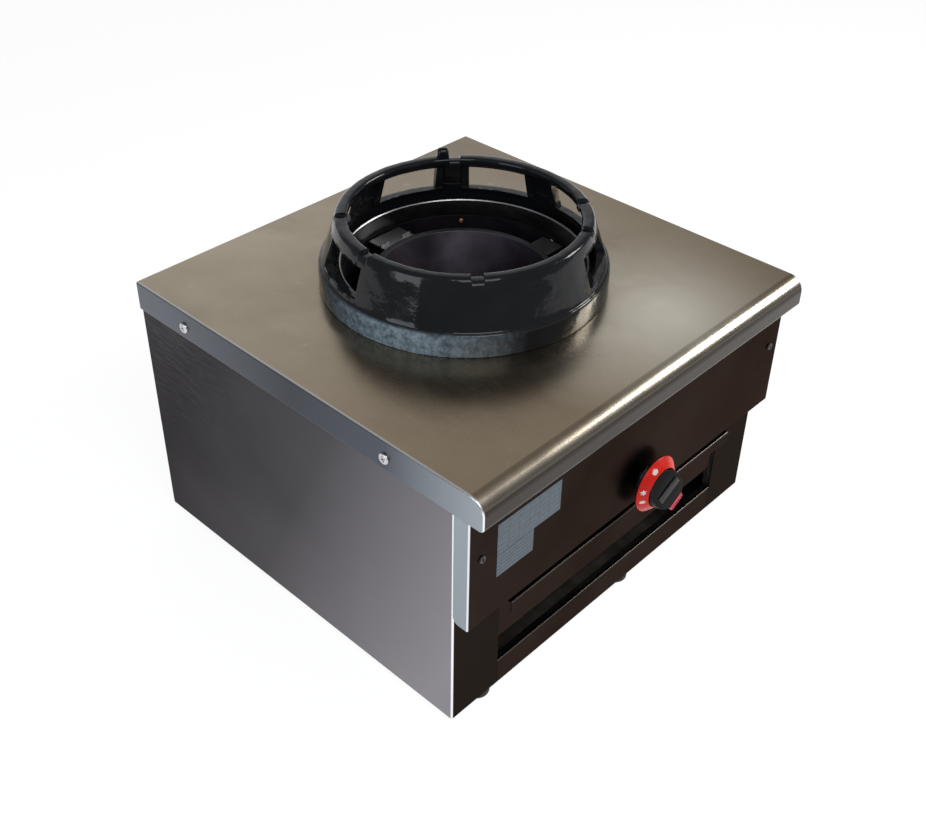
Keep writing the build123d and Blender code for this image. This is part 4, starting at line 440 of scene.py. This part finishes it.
# The band is worn and rougher at the front left, and its blue-grey there is a painted reflection of the cool
# window light.
band_height = ring_iron.spread(ring_iron.axis("Z"), TOP + 0.027, TOP + 0.031, 1.0, 0.0)
band_side = ring_iron.near(BURNER + Vector((-0.172, -0.060, 0.02)), 0.03, 0.15)
band_chips = ring_iron.spread(ring_iron.noise(120.0, 6.0, 0.75), 0.36, 0.62, 0.25, 1.0)
band_wear_and_sheen = ring_iron.product(ring_iron.product(band_height, band_side), band_chips)
enamel = ring_iron.shader.inputs["Base Color"].links[0].from_socket
ring_iron.colour(ring_iron.mix(band_wear_and_sheen, enamel, (0.27, 0.355, 0.42)))
gloss = ring_iron.shader.inputs["Roughness"].links[0].from_socket
ring_iron.roughness(ring_iron.sum(gloss, band_wear_and_sheen, 0.35))
burner_iron = mottled("burner_iron", (0.02, 0.02, 0.02), (0.07, 0.068, 0.065), (0.55, 0.8), 0.4, 180, 0.0005)
screw_steel = mottled("screw_steel", (0.45, 0.45, 0.46), (0.75, 0.75, 0.76), (0.18, 0.34), 1.0, 500, 0.00002)
dull_screw = mottled("dull_screw", (0.05, 0.045, 0.045), (0.12, 0.11, 0.11), (0.3, 0.45), 1.0, 500, 0.00002)
spring_steel = mottled("spring_steel", (0.35, 0.35, 0.36), (0.6, 0.6, 0.6), (0.25, 0.4), 1.0, 500, 0.00002)
copper = mottled("copper", (0.60, 0.25, 0.14), (0.95, 0.50, 0.32), (0.3, 0.5), 0.7, 300, 0.00002)
brass = mottled("brass", (0.45, 0.31, 0.12), (0.72, 0.55, 0.26), (0.22, 0.4), 1.0, 200, 0.00002)
pipe_steel = mottled("pipe_steel", (0.30, 0.30, 0.31), (0.55, 0.55, 0.56), (0.35, 0.55), 1.0, 90, 0.00003)
nut_chrome = mottled("nut_chrome", (0.08, 0.08, 0.085), (0.16, 0.16, 0.17), (0.12, 0.22), 1.0, 200, 0.00001)
dial_red = mottled("dial_red", (0.62, 0.012, 0.010), (0.85, 0.030, 0.012), (0.25, 0.35), 0.0, 40, 0.00002,
                   **{"Specular IOR Level": 0.2})
grip_black = mottled("grip_black", (0.002, 0.002, 0.0025), (0.005, 0.005, 0.006), (0.10, 0.20), 0.0, 90,
                     0.00002, **{"Specular IOR Level": 0.12})
# A lighter black for the bar: painted highlight on its ridge.
grip_bar_highlight = mottled("grip_bar_highlight", (0.010, 0.010, 0.011), (0.028, 0.028, 0.030), (0.2, 0.3), 0.0, 60, 0.00002)
# A paler grey for the grip's bevelled edges: painted highlight.
grip_edge_highlight = mottled("grip_edge_highlight", (0.18, 0.19, 0.20), (0.30, 0.31, 0.33), (0.15, 0.25), 0.0, 90, 0.00002)
pointer_red = mottled("pointer_red", (0.50, 0.006, 0.035), (0.66, 0.012, 0.050), (0.22, 0.32), 0.0, 60,
                      0.00002, **{"Specular IOR Level": 0.3})
foot_rubber = mottled("foot_rubber", (0.008, 0.008, 0.008), (0.025, 0.025, 0.025), (0.6, 0.85), 0.0, 300)
print("fifteen small finishes")

# %% [markdown]
# The data plate is a printed sheet with a plain ruled table. The lines come from a brick
# pattern without an offset, whose mortar is the print. The dial is red but for the back
# of its rim, which is black.

# %% Label plates and dial
def ruled_plate(name, cell_width, cell_height, line, ink):
    finish = mottled(name, (0.076, 0.106, 0.132), (0.110, 0.148, 0.180), (0.35, 0.5), 0.3, 250, 0.00002)
    bricks = finish.tree.nodes.new("ShaderNodeTexBrick")
    bricks.offset = 0.0
    values = {"Scale": 1.0, "Mortar Size": line, "Mortar Smooth": 0.3, "Bias": 0.0,
              "Brick Width": cell_width, "Row Height": cell_height,
              "Color1": (1, 1, 1, 1), "Color2": (1, 1, 1, 1), "Mortar": (*ink, 1)}
    for socket, value in values.items():
        bricks.inputs[socket].default_value = value
    upright = finish.mapped(rotation=(math.pi / 2, 0, 0), location=(0.004, 0.002, 0))
    finish.join(upright, bricks.inputs["Vector"])
    base = finish.shader.inputs["Base Color"].links[0].from_socket
    finish.colour(finish.mix(1.0, base, bricks.outputs["Color"], "MULTIPLY"))
    return finish


label_metal = ruled_plate("label_metal", 0.0165, 0.0072, 0.0003, (0.30, 0.32, 0.35))
label_lines = ruled_plate("label_lines", 0.30, 0.0052, 0.0007, (0.40, 0.40, 0.42))
dial_cone = dial_red.shader.inputs["Base Color"].links[0].from_socket
rim_back = dial_red.spread(dial_red.axis("Y"), dial_high.y - 0.0019, dial_high.y - 0.0015, 0.0, 1.0)
dial_red.colour(dial_red.mix(rim_back, dial_cone, (0.006, 0.006, 0.007)))
mark_white = mottled("mark_white", (0.72, 0.72, 0.70), (0.86, 0.86, 0.84), (0.4, 0.5), 0.0, 300, 0.0)
print("plates and dial ready")

# %% [markdown]
# The record of the part names a material slot for every node, so one loop dresses all
# the CAD pieces: the slot's name picks the finish of the same name.

# %% Dress the CAD pieces
finishes = {f.material.name: f for f in (
    top_steel, body_steel, front_steel, inner_steel, collar_steel, bowl_steel, ring_iron, burner_iron,
    screw_steel, spring_steel, copper, brass, pipe_steel, nut_chrome, dial_red, grip_black, pointer_red,
    foot_rubber, label_metal)}
slots = {entry["node"]: entry["material_slot"] for entry in frame["record"]["subparts"]}
for name, piece in nodes.items():
    piece.data.materials.clear()
    piece.data.materials.append(finishes[slots[name]].material)
nodes["label_plate_lower"].data.materials[0] = label_lines.material
nodes["panel_screws"].data.materials[0] = dull_screw.material
for side_name in ("back", "left", "right"):
    nodes["bowl_bracket_" + side_name].data.materials[0] = bracket_steel.material
print(len(slots), "nodes dressed in", len(set(slots.values())), "finishes")

# %% [markdown]
# ## The cast ring
# The ring is cast iron under thick black enamel. Nothing on it is sharp: the melted
# enamel rounds every edge. It could be remeshed from the solid, but the soft edges would
# all be alike. Here it is drawn as a founder would: one outline of the wall, spun round
# the burner, from which the windows are then cut. These helpers select by place.

# %% Helpers for modelling
def only(piece):
    """Make one piece the only selected object, in object mode."""
    if bpy.context.object and bpy.context.object.mode != "OBJECT":
        bpy.ops.object.mode_set(mode="OBJECT")
    bpy.ops.object.select_all(action="DESELECT")
    piece.select_set(True)
    bpy.context.view_layer.objects.active = piece


def pick(piece, kind, wanted):
    """Enter edit mode with the vertices, edges or faces selected whose middle passes a test."""
    only(piece)
    mesh = piece.data
    for group in (mesh.vertices, mesh.edges, mesh.polygons):
        group.foreach_set("select", [False] * len(group))
    scene.tool_settings.mesh_select_mode = tuple(kind == name for name in ("VERT", "EDGE", "FACE"))
    if kind == "VERT":
        for vertex in mesh.vertices:
            vertex.select = wanted(vertex.co)
    elif kind == "FACE":
        for face in mesh.polygons:
            face.select = wanted(face.center)
    else:
        for edge in mesh.edges:
            first, second = (mesh.vertices[index].co for index in edge.vertices)
            edge.select = wanted((first + second) / 2)
    bpy.ops.object.mode_set(mode="EDIT")


def draw_outline(name, points):
    """A chain of edges, drawn as by hand: one vertex that is extruded from point to point."""
    bpy.ops.object.select_all(action="DESELECT")
    bpy.ops.mesh.primitive_plane_add(size=0.001, location=(0, 0, 0))
    piece = bpy.context.object
    piece.name = name
    scene.tool_settings.mesh_select_mode = (True, False, False)
    bpy.ops.object.mode_set(mode="EDIT")
    bpy.ops.mesh.select_all(action="SELECT")
    bpy.ops.mesh.merge(type="CENTER")
    bpy.ops.transform.translate(value=points[0])
    for before, after in zip(points, points[1:]):
        bpy.ops.mesh.extrude_region_move(TRANSFORM_OT_translate={"value": Vector(after) - Vector(before)})
    bpy.ops.object.mode_set(mode="OBJECT")
    return piece


def spin_round(piece, centre, axis, steps):
    """Turn a piece's outline into a closed shell about an axis."""
    only(piece)
    bpy.ops.object.mode_set(mode="EDIT")
    bpy.ops.mesh.select_all(action="SELECT")
    bpy.ops.mesh.spin(steps=steps, angle=math.tau, center=centre, axis=axis)
    bpy.ops.mesh.select_all(action="SELECT")
    bpy.ops.mesh.remove_doubles(threshold=0.00002)
    bpy.ops.mesh.normals_make_consistent(inside=False)
    bpy.ops.object.mode_set(mode="OBJECT")


def apply_modifier(piece, kind, **settings):
    """Add one modifier with its settings and apply it at once."""
    only(piece)
    modifier = piece.modifiers.new(kind.lower(), kind)
    for setting, value in settings.items():
        setattr(modifier, setting, value)
    bpy.ops.object.modifier_apply(modifier=modifier.name)


print("modelling helpers ready")

# %% [markdown]
# The outline is a list of radius, height over the worktop, and how far the corner there
# is rounded, in millimetres. It runs up the outside, over the rim with its inner bead,
# and down the inside. Points at the windows' lower and upper edge lie on both walls.

# %% The ring's outline, spun
SEGMENTS = 400
WINDOW_LOW, WINDOW_HIGH = 38.0, 75.5
WALL = 8.5
RIB = 3.0


def cone(height):
    """Radius of the ring's outer wall at a height over the worktop."""
    return 178.5 - 20.0 * (height - 30.0) / 62.0


window_rows = [WINDOW_LOW + (WINDOW_HIGH - WINDOW_LOW) * share / 4 for share in range(5)]
outside = [(173.0, 0.0, 0.0), (183.0, 0.0, 1.2), (183.0, 8.0, 0), (183.0, 16.0, 0), (182.7, 23.0, 0),
           (182.0, 29.6, 2.4), (178.3, 31.0, 1.6)]
outside += [(cone(height), height, 0) for height in window_rows]
rim = [(cone(80.0), 80.0, 0), (158.5, 92.0, 4.6), (143.6, 92.0, 4.6), (144.4, 80.6, 2.6), (153.6, 79.2, 1.2)]
FRAME_LOW, FRAME_HIGH = WINDOW_LOW - RIB, WINDOW_HIGH + RIB - 0.6
inside = [(cone(height) - WALL, height, 0) for height in [FRAME_HIGH] + window_rows[::-1] + [FRAME_LOW]]
inside += [(170.0, 31.0, 0), (172.5, 23.0, 0), (172.8, 12.0, 0), (173.0, 0.0, 0)]
ring_points = outside + rim + inside
mm = 0.001
ring = draw_outline("cast_ring", [(BURNER.x + r * mm, BURNER.y, TOP + z * mm) for r, z, _ in ring_points])
for r, z, rounding in ring_points:
    if rounding:
        corner = Vector((BURNER.x + r * mm, BURNER.y, TOP + z * mm))
        pick(ring, "VERT", lambda place: (place - corner).length < 0.0001)
        bpy.ops.mesh.bevel(offset=rounding * mm, segments=4, affect="VERTICES")
spin_round(ring, BURNER, (0, 0, 1), SEGMENTS)
print("ring shell:", len(ring.data.polygons), "faces")

# %% [markdown]
# Six windows are cut on a pitch of 45 degrees, which leaves one wide plain stretch at the
# front. On the inside each window has a raised frame. So the frame's area is first
# extruded inwards, then the window's faces are deleted from both walls, and the two open
# loops that remain are bridged.

# %% Windows and their frames
WINDOW_CENTRES = [-63.0 + 45.0 * number for number in range(6)]
STEP = 360.0 / SEGMENTS
HALF_WINDOW = 16 * STEP
HALF_FRAME = HALF_WINDOW + 4 * STEP


def polar(place):
    """Angle about the burner in degrees, distance from its axis and height over the worktop."""
    x, y = place.x - BURNER.x, place.y - BURNER.y
    return math.degrees(math.atan2(y, x)), math.hypot(x, y) / mm, (place.z - TOP) / mm


def turn_between(angle, centre):
    return abs((angle - centre + 180.0) % 360.0 - 180.0)


def in_field(place, half, low, high, inner_wall=None):
    """Whether a place lies in one of the six fields, on one wall or on either."""
    angle, radius, height = polar(place)
    if not low < height < high:
        return False
    if inner_wall is not None and (radius < cone(height) - WALL / 2) != inner_wall:
        return False
    return any(turn_between(angle, centre) < half for centre in WINDOW_CENTRES)


pick(ring, "FACE", lambda c: in_field(c, HALF_FRAME, FRAME_LOW, FRAME_HIGH, True))
bpy.ops.mesh.extrude_region_move()
shrink = 1.0 - RIB / 163.0
bpy.ops.transform.resize(value=(shrink, shrink, 1.0), center_override=BURNER)
pick(ring, "FACE", lambda c: in_field(c, HALF_WINDOW, WINDOW_LOW, WINDOW_HIGH))
bpy.ops.mesh.delete(type="FACE")
bpy.ops.object.mode_set(mode="OBJECT")
for centre in WINDOW_CENTRES:
    uses = {}
    for face in ring.data.polygons:
        for key in face.edge_keys:
            uses[key] = uses.get(key, 0) + 1
    open_middles = {tuple(round(v, 6) for v in (ring.data.vertices[a].co + ring.data.vertices[b].co) / 2)
                    for (a, b), count in uses.items() if count == 1}
    pick(ring, "EDGE", lambda c: tuple(round(v, 6) for v in c) in open_middles
         and turn_between(polar(c)[0], centre) < HALF_FRAME)
    bpy.ops.mesh.bridge_edge_loops(number_cuts=2, interpolation="LINEAR")
    bpy.ops.object.mode_set(mode="OBJECT")
print("six framed windows:", len(ring.data.polygons), "faces")

# %% [markdown]
# The rim has six shallow notches, where gas passes under the wok, and one lug that stands
# up. A notch needs its own edges, so the faces round it are bisected by four planes, and
# the vertices between them are lowered, the outer ones also moved a little outwards. The
# lug starts as a cube, is tapered and rounded, and is then joined to the ring.

# %% Notches and lug
NOTCH_ANGLES = (-131.0, -62.8, -35.4, 48.7, 139.2, 175.7)
NOTCH_PLANES = (-0.0076, -0.0068, 0.0068, 0.0076)
NOTCH_HALF, NOTCH_DEPTH = 0.0070, 0.0042
LUG_ANGLE, LUG_RADIUS, LUG_HEIGHT = 54.6, 0.1512, 0.0955
LUG_SIZE = (0.0125, 0.0175, 0.019)
for angle in NOTCH_ANGLES:
    turn = math.radians(angle)
    out, across = Vector((math.cos(turn), math.sin(turn), 0)), Vector((-math.sin(turn), math.cos(turn), 0))
    for offset in NOTCH_PLANES:
        pick(ring, "FACE", lambda c: polar(c)[2] > 79.0 and turn_between(polar(c)[0], angle) < 6.0)
        bpy.ops.mesh.bisect(plane_co=BURNER + across * offset, plane_no=across)
    for outer_part, shift in ((True, out * 0.0013), (False, Vector((0, 0, 0)))):
        pick(ring, "VERT", lambda c: polar(c)[2] > 82.5 and (c - BURNER).dot(out) > 0
             and abs((c - BURNER).dot(across)) < NOTCH_HALF and (polar(c)[1] > 151.0) == outer_part)
        bpy.ops.transform.translate(value=shift - Vector((0, 0, NOTCH_DEPTH)))
bpy.ops.object.mode_set(mode="OBJECT")
bpy.ops.object.select_all(action="DESELECT")
lug_turn = math.radians(LUG_ANGLE)
lug_place = BURNER + Vector((LUG_RADIUS * math.cos(lug_turn), LUG_RADIUS * math.sin(lug_turn), LUG_HEIGHT))
bpy.ops.mesh.primitive_cube_add(size=1, location=lug_place, rotation=(0, 0, lug_turn), scale=LUG_SIZE)
lug = bpy.context.object
lug.name = "lug"
bpy.ops.object.transform_apply(location=True, rotation=True, scale=True)
pick(lug, "FACE", lambda c: c.z > lug_place.z + 0.009)
bpy.ops.transform.resize(value=(0.86, 0.90, 1.0))
pick(lug, "EDGE", lambda c: c.z > lug_place.z - 0.005)
bpy.ops.mesh.bevel(offset=0.0050, segments=6, affect="EDGES")
bpy.ops.object.mode_set(mode="OBJECT")
only(ring)
lug.select_set(True)
bpy.ops.object.join()
print("notches and lug:", len(ring.data.polygons), "faces")

# %% [markdown]
# A bevel rounds what is still sharp, and a displacement of a few tenths of a millimetre
# gives the wall the slight waves of a sand casting. Then the ring takes the CAD node's
# place, so that it lifts with the ring's own joint.

# %% Soften and hand over the ring
apply_modifier(ring, "BEVEL", width=0.0011, segments=2, limit_method="ANGLE", angle_limit=math.radians(32))
waves = bpy.data.textures.new("casting_waves", "CLOUDS")
waves.noise_scale = 0.016
waves.noise_depth = 2
apply_modifier(ring, "DISPLACE", texture=waves, texture_coords="LOCAL", strength=0.0007, mid_level=0.62)
only(ring)
bpy.ops.object.shade_smooth_by_angle(angle=math.radians(50))
ring.data.materials.append(ring_iron.material)
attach(ring, "ring")
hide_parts("wok_ring")
ring.data.calc_loop_triangles()
print("ring:", len(ring.data.loop_triangles), "triangles")

# %% [markdown]
# ## The knob
# The knob is three mouldings: a red dial, a black grip and a crimson pointer. The dial
# and the grip are turned shapes, so each is an outline spun about the knob's axis. A
# helper gives places from a radius, a distance off the panel and an angle.

# %% Dial and grip
PANEL = KNOB.y + 13.5 * mm
POINTER_ANGLE = -60.0


def on_knob(radius, front, angle=0.0):
    turn = math.radians(angle)
    return Vector((KNOB.x + radius * mm * math.cos(turn), PANEL - front * mm,
                   KNOB.z + radius * mm * math.sin(turn)))


def turned_moulding(name, outline):
    """Spin an outline of (radius, front, rounding) about the knob's axis."""
    piece = draw_outline(name, [on_knob(radius, front) for radius, front, _ in outline])
    for radius, front, rounding in outline:
        if rounding:
            corner = on_knob(radius, front)
            pick(piece, "VERT", lambda place: (place - corner).length < 0.00005)
            bpy.ops.mesh.bevel(offset=rounding * mm, segments=4, affect="VERTICES")
    spin_round(piece, KNOB, (0, 1, 0), 96)
    return piece


dial = turned_moulding("dial", [
    (35.5, 13.5, 0), (38.0, 13.5, 0.5), (38.0, 16.0, 0.8), (26.9, 26.0, 0.4), (26.35, 25.5, 0),
    (26.35, 22.9, 0), (28.0, 22.9, 0), (35.5, 15.4, 0), (35.5, 13.5, 0)])
grip = turned_moulding("grip", [
    (0.0, 33.3, 0), (4.05, 33.3, 0), (4.05, 13.5, 0), (8.0, 13.5, 0.5), (8.0, 20.8, 0), (27.8, 20.8, 0),
    (27.8, 22.8, 0), (26.2, 22.8, 0), (26.2, 26.0, 0), (23.0, 41.4, 0), (0.0, 41.4, 0)])
print("dial", len(dial.data.polygons), "faces, grip", len(grip.data.polygons), "faces")

# %% [markdown]
# The grip's face slopes: it is low at the upper left and high towards the pointer. A
# large block, turned to that slope, is taken away with a Boolean, and so is the pointer's
# seat. A bar lies on the slope. A last block, inset and sunk a little on its front,
# becomes the pointer.

# %% Bar, seat and pointer
def block_on_knob(name, radius, front, angle, size):
    """A block whose first size runs outwards, the second off the panel, the third across."""
    bpy.ops.object.select_all(action="DESELECT")
    bpy.ops.mesh.primitive_cube_add(size=1, location=on_knob(radius, front, angle),
                                    rotation=(0, -math.radians(angle), 0), scale=[v * mm for v in size])
    piece = bpy.context.object
    piece.name = name
    bpy.ops.object.transform_apply(location=True, rotation=True, scale=True)
    return piece


SLOPE, SLOPE_ANGLE, FACE_FRONT = math.radians(19.5), -58.0, 34.5


def lean(piece):
    """Turn a block that stands parallel to the panel onto the slope of the grip's face."""
    turn = math.radians(SLOPE_ANGLE + 90.0)
    only(piece)
    hinge = Matrix.Rotation(-SLOPE, 4, Vector((math.cos(turn), 0, math.sin(turn))))
    middle = on_knob(0.0, FACE_FRONT)
    piece.data.transform(Matrix.Translation(middle) @ hinge @ Matrix.Translation(-middle))


slope = block_on_knob("slope", 0.0, FACE_FRONT + 15.0, 0.0, (90.0, 30.0, 90.0))
seat = block_on_knob("seat", 32.5, 43.5, POINTER_ANGLE, (27.0, 33.0, 60.0))
lean(slope)
for cutter in (slope, seat):
    apply_modifier(grip, "BOOLEAN", operation="DIFFERENCE", object=cutter, solver="EXACT")
    bpy.data.objects.remove(cutter)
grip.data.materials.clear()
grip.data.materials.append(grip_black.material)
# The bevel faces take the paler grey: painted highlight.
grip.data.materials.append(grip_edge_highlight.material)
apply_modifier(grip, "BEVEL", width=0.0007, segments=3, limit_method="ANGLE",
               angle_limit=math.radians(35), material=1)
bar = block_on_knob("bar", 1.5, FACE_FRONT + 0.6, POINTER_ANGLE + 90.0, (37.0, 2.4, 9.0))
dot = block_on_knob("dot", 14.5, FACE_FRONT + 0.2, -150.0, (2.8, 1.0, 2.8))
for piece in (bar, dot):
    lean(piece)
apply_modifier(bar, "BEVEL", width=0.0008, segments=3)
apply_modifier(dot, "BEVEL", width=0.0004, segments=3)
dot.data.materials.append(mark_white.material)
bar.data.materials.append(grip_bar_highlight.material)
only(grip)
bar.select_set(True)
dot.select_set(True)
bpy.ops.object.join()
pointer = block_on_knob("pointer", 23.75, 34.4, POINTER_ANGLE, (9.5, 14.8, 24.0))
outwards = on_knob(1.0, 0.0, POINTER_ANGLE) - on_knob(0.0, 0.0)
outwards.normalize()
pick(pointer, "EDGE", lambda c: (c - KNOB).dot(outwards) > 0.028 and abs(c.y - (PANEL - 0.0344)) < 0.001)
bpy.ops.mesh.bevel(offset=0.0030, segments=5, affect="EDGES")
pick(pointer, "FACE", lambda c: c.y < PANEL - 0.0415)
bpy.ops.mesh.inset(thickness=0.0015)
bpy.ops.mesh.extrude_region_move(TRANSFORM_OT_translate={"value": (0, 0.0007, 0)})
bpy.ops.object.mode_set(mode="OBJECT")
apply_modifier(pointer, "BEVEL", width=0.0005, segments=2, limit_method="ANGLE",
               angle_limit=math.radians(35))
print("grip", len(grip.data.polygons), "faces, pointer", len(pointer.data.polygons), "faces")

# %% [markdown]
# Three white signs are printed on the dial: an oval for off, a spark for lighting and a
# flame. Each is an outline on the slanted face, filled and made a hair thick. They become
# part of the dial and keep their own white.

# %% Signs on the dial
def printed_sign(name, angle, shape):
    """A flat sign on the slanted face, from points across and outwards in millimetres."""
    corners = []
    for across, outward in shape:
        radius = 32.6 + outward * 0.743
        front = 26.0 - (radius - 26.9) * 0.901 + 0.15
        corners.append(on_knob(radius, front, angle + math.degrees(across / radius)))
    sign = draw_outline(name, corners)
    pick(sign, "VERT", lambda c: True)
    bpy.ops.mesh.edge_face_add()
    bpy.ops.mesh.extrude_region_move(TRANSFORM_OT_translate={"value": (0, 0.0004, 0)})
    bpy.ops.mesh.select_all(action="SELECT")
    bpy.ops.mesh.normals_make_consistent(inside=False)
    bpy.ops.object.mode_set(mode="OBJECT")
    sign.data.materials.append(mark_white.material)
    return sign


oval = [(2.7 * math.cos(math.tau * k / 20), 3.9 * math.sin(math.tau * k / 20)) for k in range(20)]
spark = [(0.2, 5.4), (0.9, 1.7), (3.4, 2.9), (2.2, 0.5), (4.2, -1.2), (1.7, -1.2), (1.4, -3.8), (-0.4, -1.6),
         (-2.8, -3.6), (-2.0, -0.5), (-4.0, 0.8), (-1.3, 1.4)]
flame = [(-4.4, -1.2), (-3.9, 1.4), (-2.7, 0.1), (-2.3, 3.4), (-1.0, 0.6), (-0.2, 4.4), (0.9, 0.6),
         (2.0, 3.6), (2.6, 0.2), (4.1, 1.8), (4.4, -1.0), (2.6, -3.6), (-2.5, -3.7)]
dial.data.materials.clear()
dial.data.materials.append(dial_red.material)
signs = [printed_sign("sign_off", 192.5, oval), printed_sign("sign_spark", 166.0, spark),
         printed_sign("sign_flame", 113.0, flame)]
only(dial)
for sign in signs:
    sign.select_set(True)
bpy.ops.object.join()
for piece, node, finish in ((dial, "knob_dial", dial_red), (grip, "knob_grip", grip_black),
                            (pointer, "knob_pointer", pointer_red)):
    only(piece)
    bpy.ops.object.shade_smooth_by_angle(angle=math.radians(32))
    if not piece.data.materials:
        piece.data.materials.append(finish.material)
    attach(piece, "knob")
    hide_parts(node)
print("knob replaced by", dial.name, grip.name, pointer.name)

# %% [markdown]
# Pushing the knob in drives the collar on its stem against a spring. A rigid spring would
# be run through by the push; a copy of it takes its place here and rides with the cabinet.
# Only the mesh is copied, because a copied object would still be marked as the CAD piece.
# A solid from the CAD model is loose triangles, so the copy's doubles are merged first.

# %% The spring, copied
spring = bpy.data.objects.new("push_spring", nodes["stem_spring"].data.copy())
scene.collection.objects.link(spring)
only(spring)
bpy.ops.object.mode_set(mode="EDIT")
bpy.ops.mesh.select_all(action="SELECT")
bpy.ops.mesh.remove_doubles(threshold=0.000001)
bpy.ops.object.mode_set(mode="OBJECT")
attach(spring, "cabinet")
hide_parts("stem_spring")
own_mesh(spring)

# %% [markdown]
# The stage is a wide pale floor. For the camera and for mirrors it also glows, so that it
# stays white, and it still takes the shadow. The sky is dim but for a broad glow behind
# the range, like a bright wall, which is what the worktop mirrors. Three soft lamps do
# the rest: one high at the right for the nose and the rim, one above the camera that
# opens the shadows, and a cool one at the left like a window.

# %% Stage and light
bpy.ops.object.select_all(action="DESELECT")
bpy.ops.mesh.primitive_circle_add(vertices=96, radius=9.0, fill_type="NGON", location=(0, 0, 0))
floor = bpy.context.object
floor.name = "studio_floor"
floor_finish = Finish("studio_floor", (0.90, 0.90, 0.90), 0.0, 0.9)
floor_finish.colour(floor_finish.ramp(
    floor_finish.noise(0.6, 2.0), (0.3, (0.89, 0.89, 0.89)), (0.7, (0.91, 0.91, 0.91))))
floor_nodes = floor_finish.tree.nodes
seen_part = floor_nodes.new("ShaderNodeBsdfDiffuse")
seen_part.inputs["Color"].default_value = (0.26, 0.26, 0.265, 1)
seen_glow = floor_nodes.new("ShaderNodeEmission")
seen_glow.inputs["Strength"].default_value = 0.87
seen = floor_nodes.new("ShaderNodeAddShader")
choice = floor_nodes.new("ShaderNodeMixShader")
path = floor_nodes.new("ShaderNodeLightPath")
seen_by = floor_nodes.new("ShaderNodeMath")
seen_by.operation = "MAXIMUM"
seen_or = floor_nodes.new("ShaderNodeMath")
seen_or.operation = "MAXIMUM"
for source, target in (
        (path.outputs["Is Camera Ray"], seen_by.inputs[0]),
        (path.outputs["Is Glossy Ray"], seen_by.inputs[1]),
        (seen_by.outputs[0], seen_or.inputs[0]), (path.outputs["Is Transmission Ray"], seen_or.inputs[1]),
        (seen_or.outputs[0], choice.inputs[0]), (floor_finish.shader.outputs[0], choice.inputs[1]),
        (seen_part.outputs[0], seen.inputs[0]), (seen_glow.outputs[0], seen.inputs[1]),
        (seen.outputs[0], choice.inputs[2]),
        (choice.outputs[0], floor_nodes["Material Output"].inputs["Surface"])):
    floor_finish.join(source, target)
floor.data.materials.append(floor_finish.material)

world = bpy.data.worlds.new("studio")
scene.world = world
world.use_nodes = True
sky = world.node_tree
toward = sky.nodes.new("ShaderNodeVectorMath")
toward.operation = "DOT_PRODUCT"
toward.inputs[1].default_value = (0.56, 0.815, 0.153)
sky.links.new(sky.nodes.new("ShaderNodeTexCoord").outputs["Generated"], toward.inputs[0])
glow_share = sky.nodes.new("ShaderNodeMapRange")
for socket, number in (("From Min", 0.74), ("From Max", 0.98), ("To Min", 0.26), ("To Max", 0.95)):
    glow_share.inputs[socket].default_value = number
sky.links.new(toward.outputs["Value"], glow_share.inputs["Value"])
sky.links.new(glow_share.outputs["Result"], sky.nodes["Background"].inputs["Strength"])
sky.nodes["Background"].inputs["Color"].default_value = (0.97, 0.98, 1.0, 1)


def lamp(name, place, target, size, power, colour=(1, 1, 1)):
    """A square soft box that looks at a point."""
    light = bpy.data.lights.new(name, "AREA")
    light.size = size
    light.energy = power
    light.color = colour
    box = bpy.data.objects.new(name, light)
    scene.collection.objects.link(box)
    box.location = place
    box.rotation_euler = (Vector(target) - Vector(place)).to_track_quat("-Z", "Y").to_euler()


lamp("nose_lamp", (1.65, -1.05, 1.4), (0.15, -0.25, 0.38), 0.7, 20, (1.0, 0.98, 0.94))
lamp("front_lamp", (-1.2, -1.8, 2.3), (0, 0, 0.2), 1.6, 26, (0.96, 0.98, 1.0))
lamp("window_lamp", (-2.3, 0.1, 1.0), (0, 0, 0.4), 1.0, 10, (0.85, 0.93, 1.0))
print("stage ready")
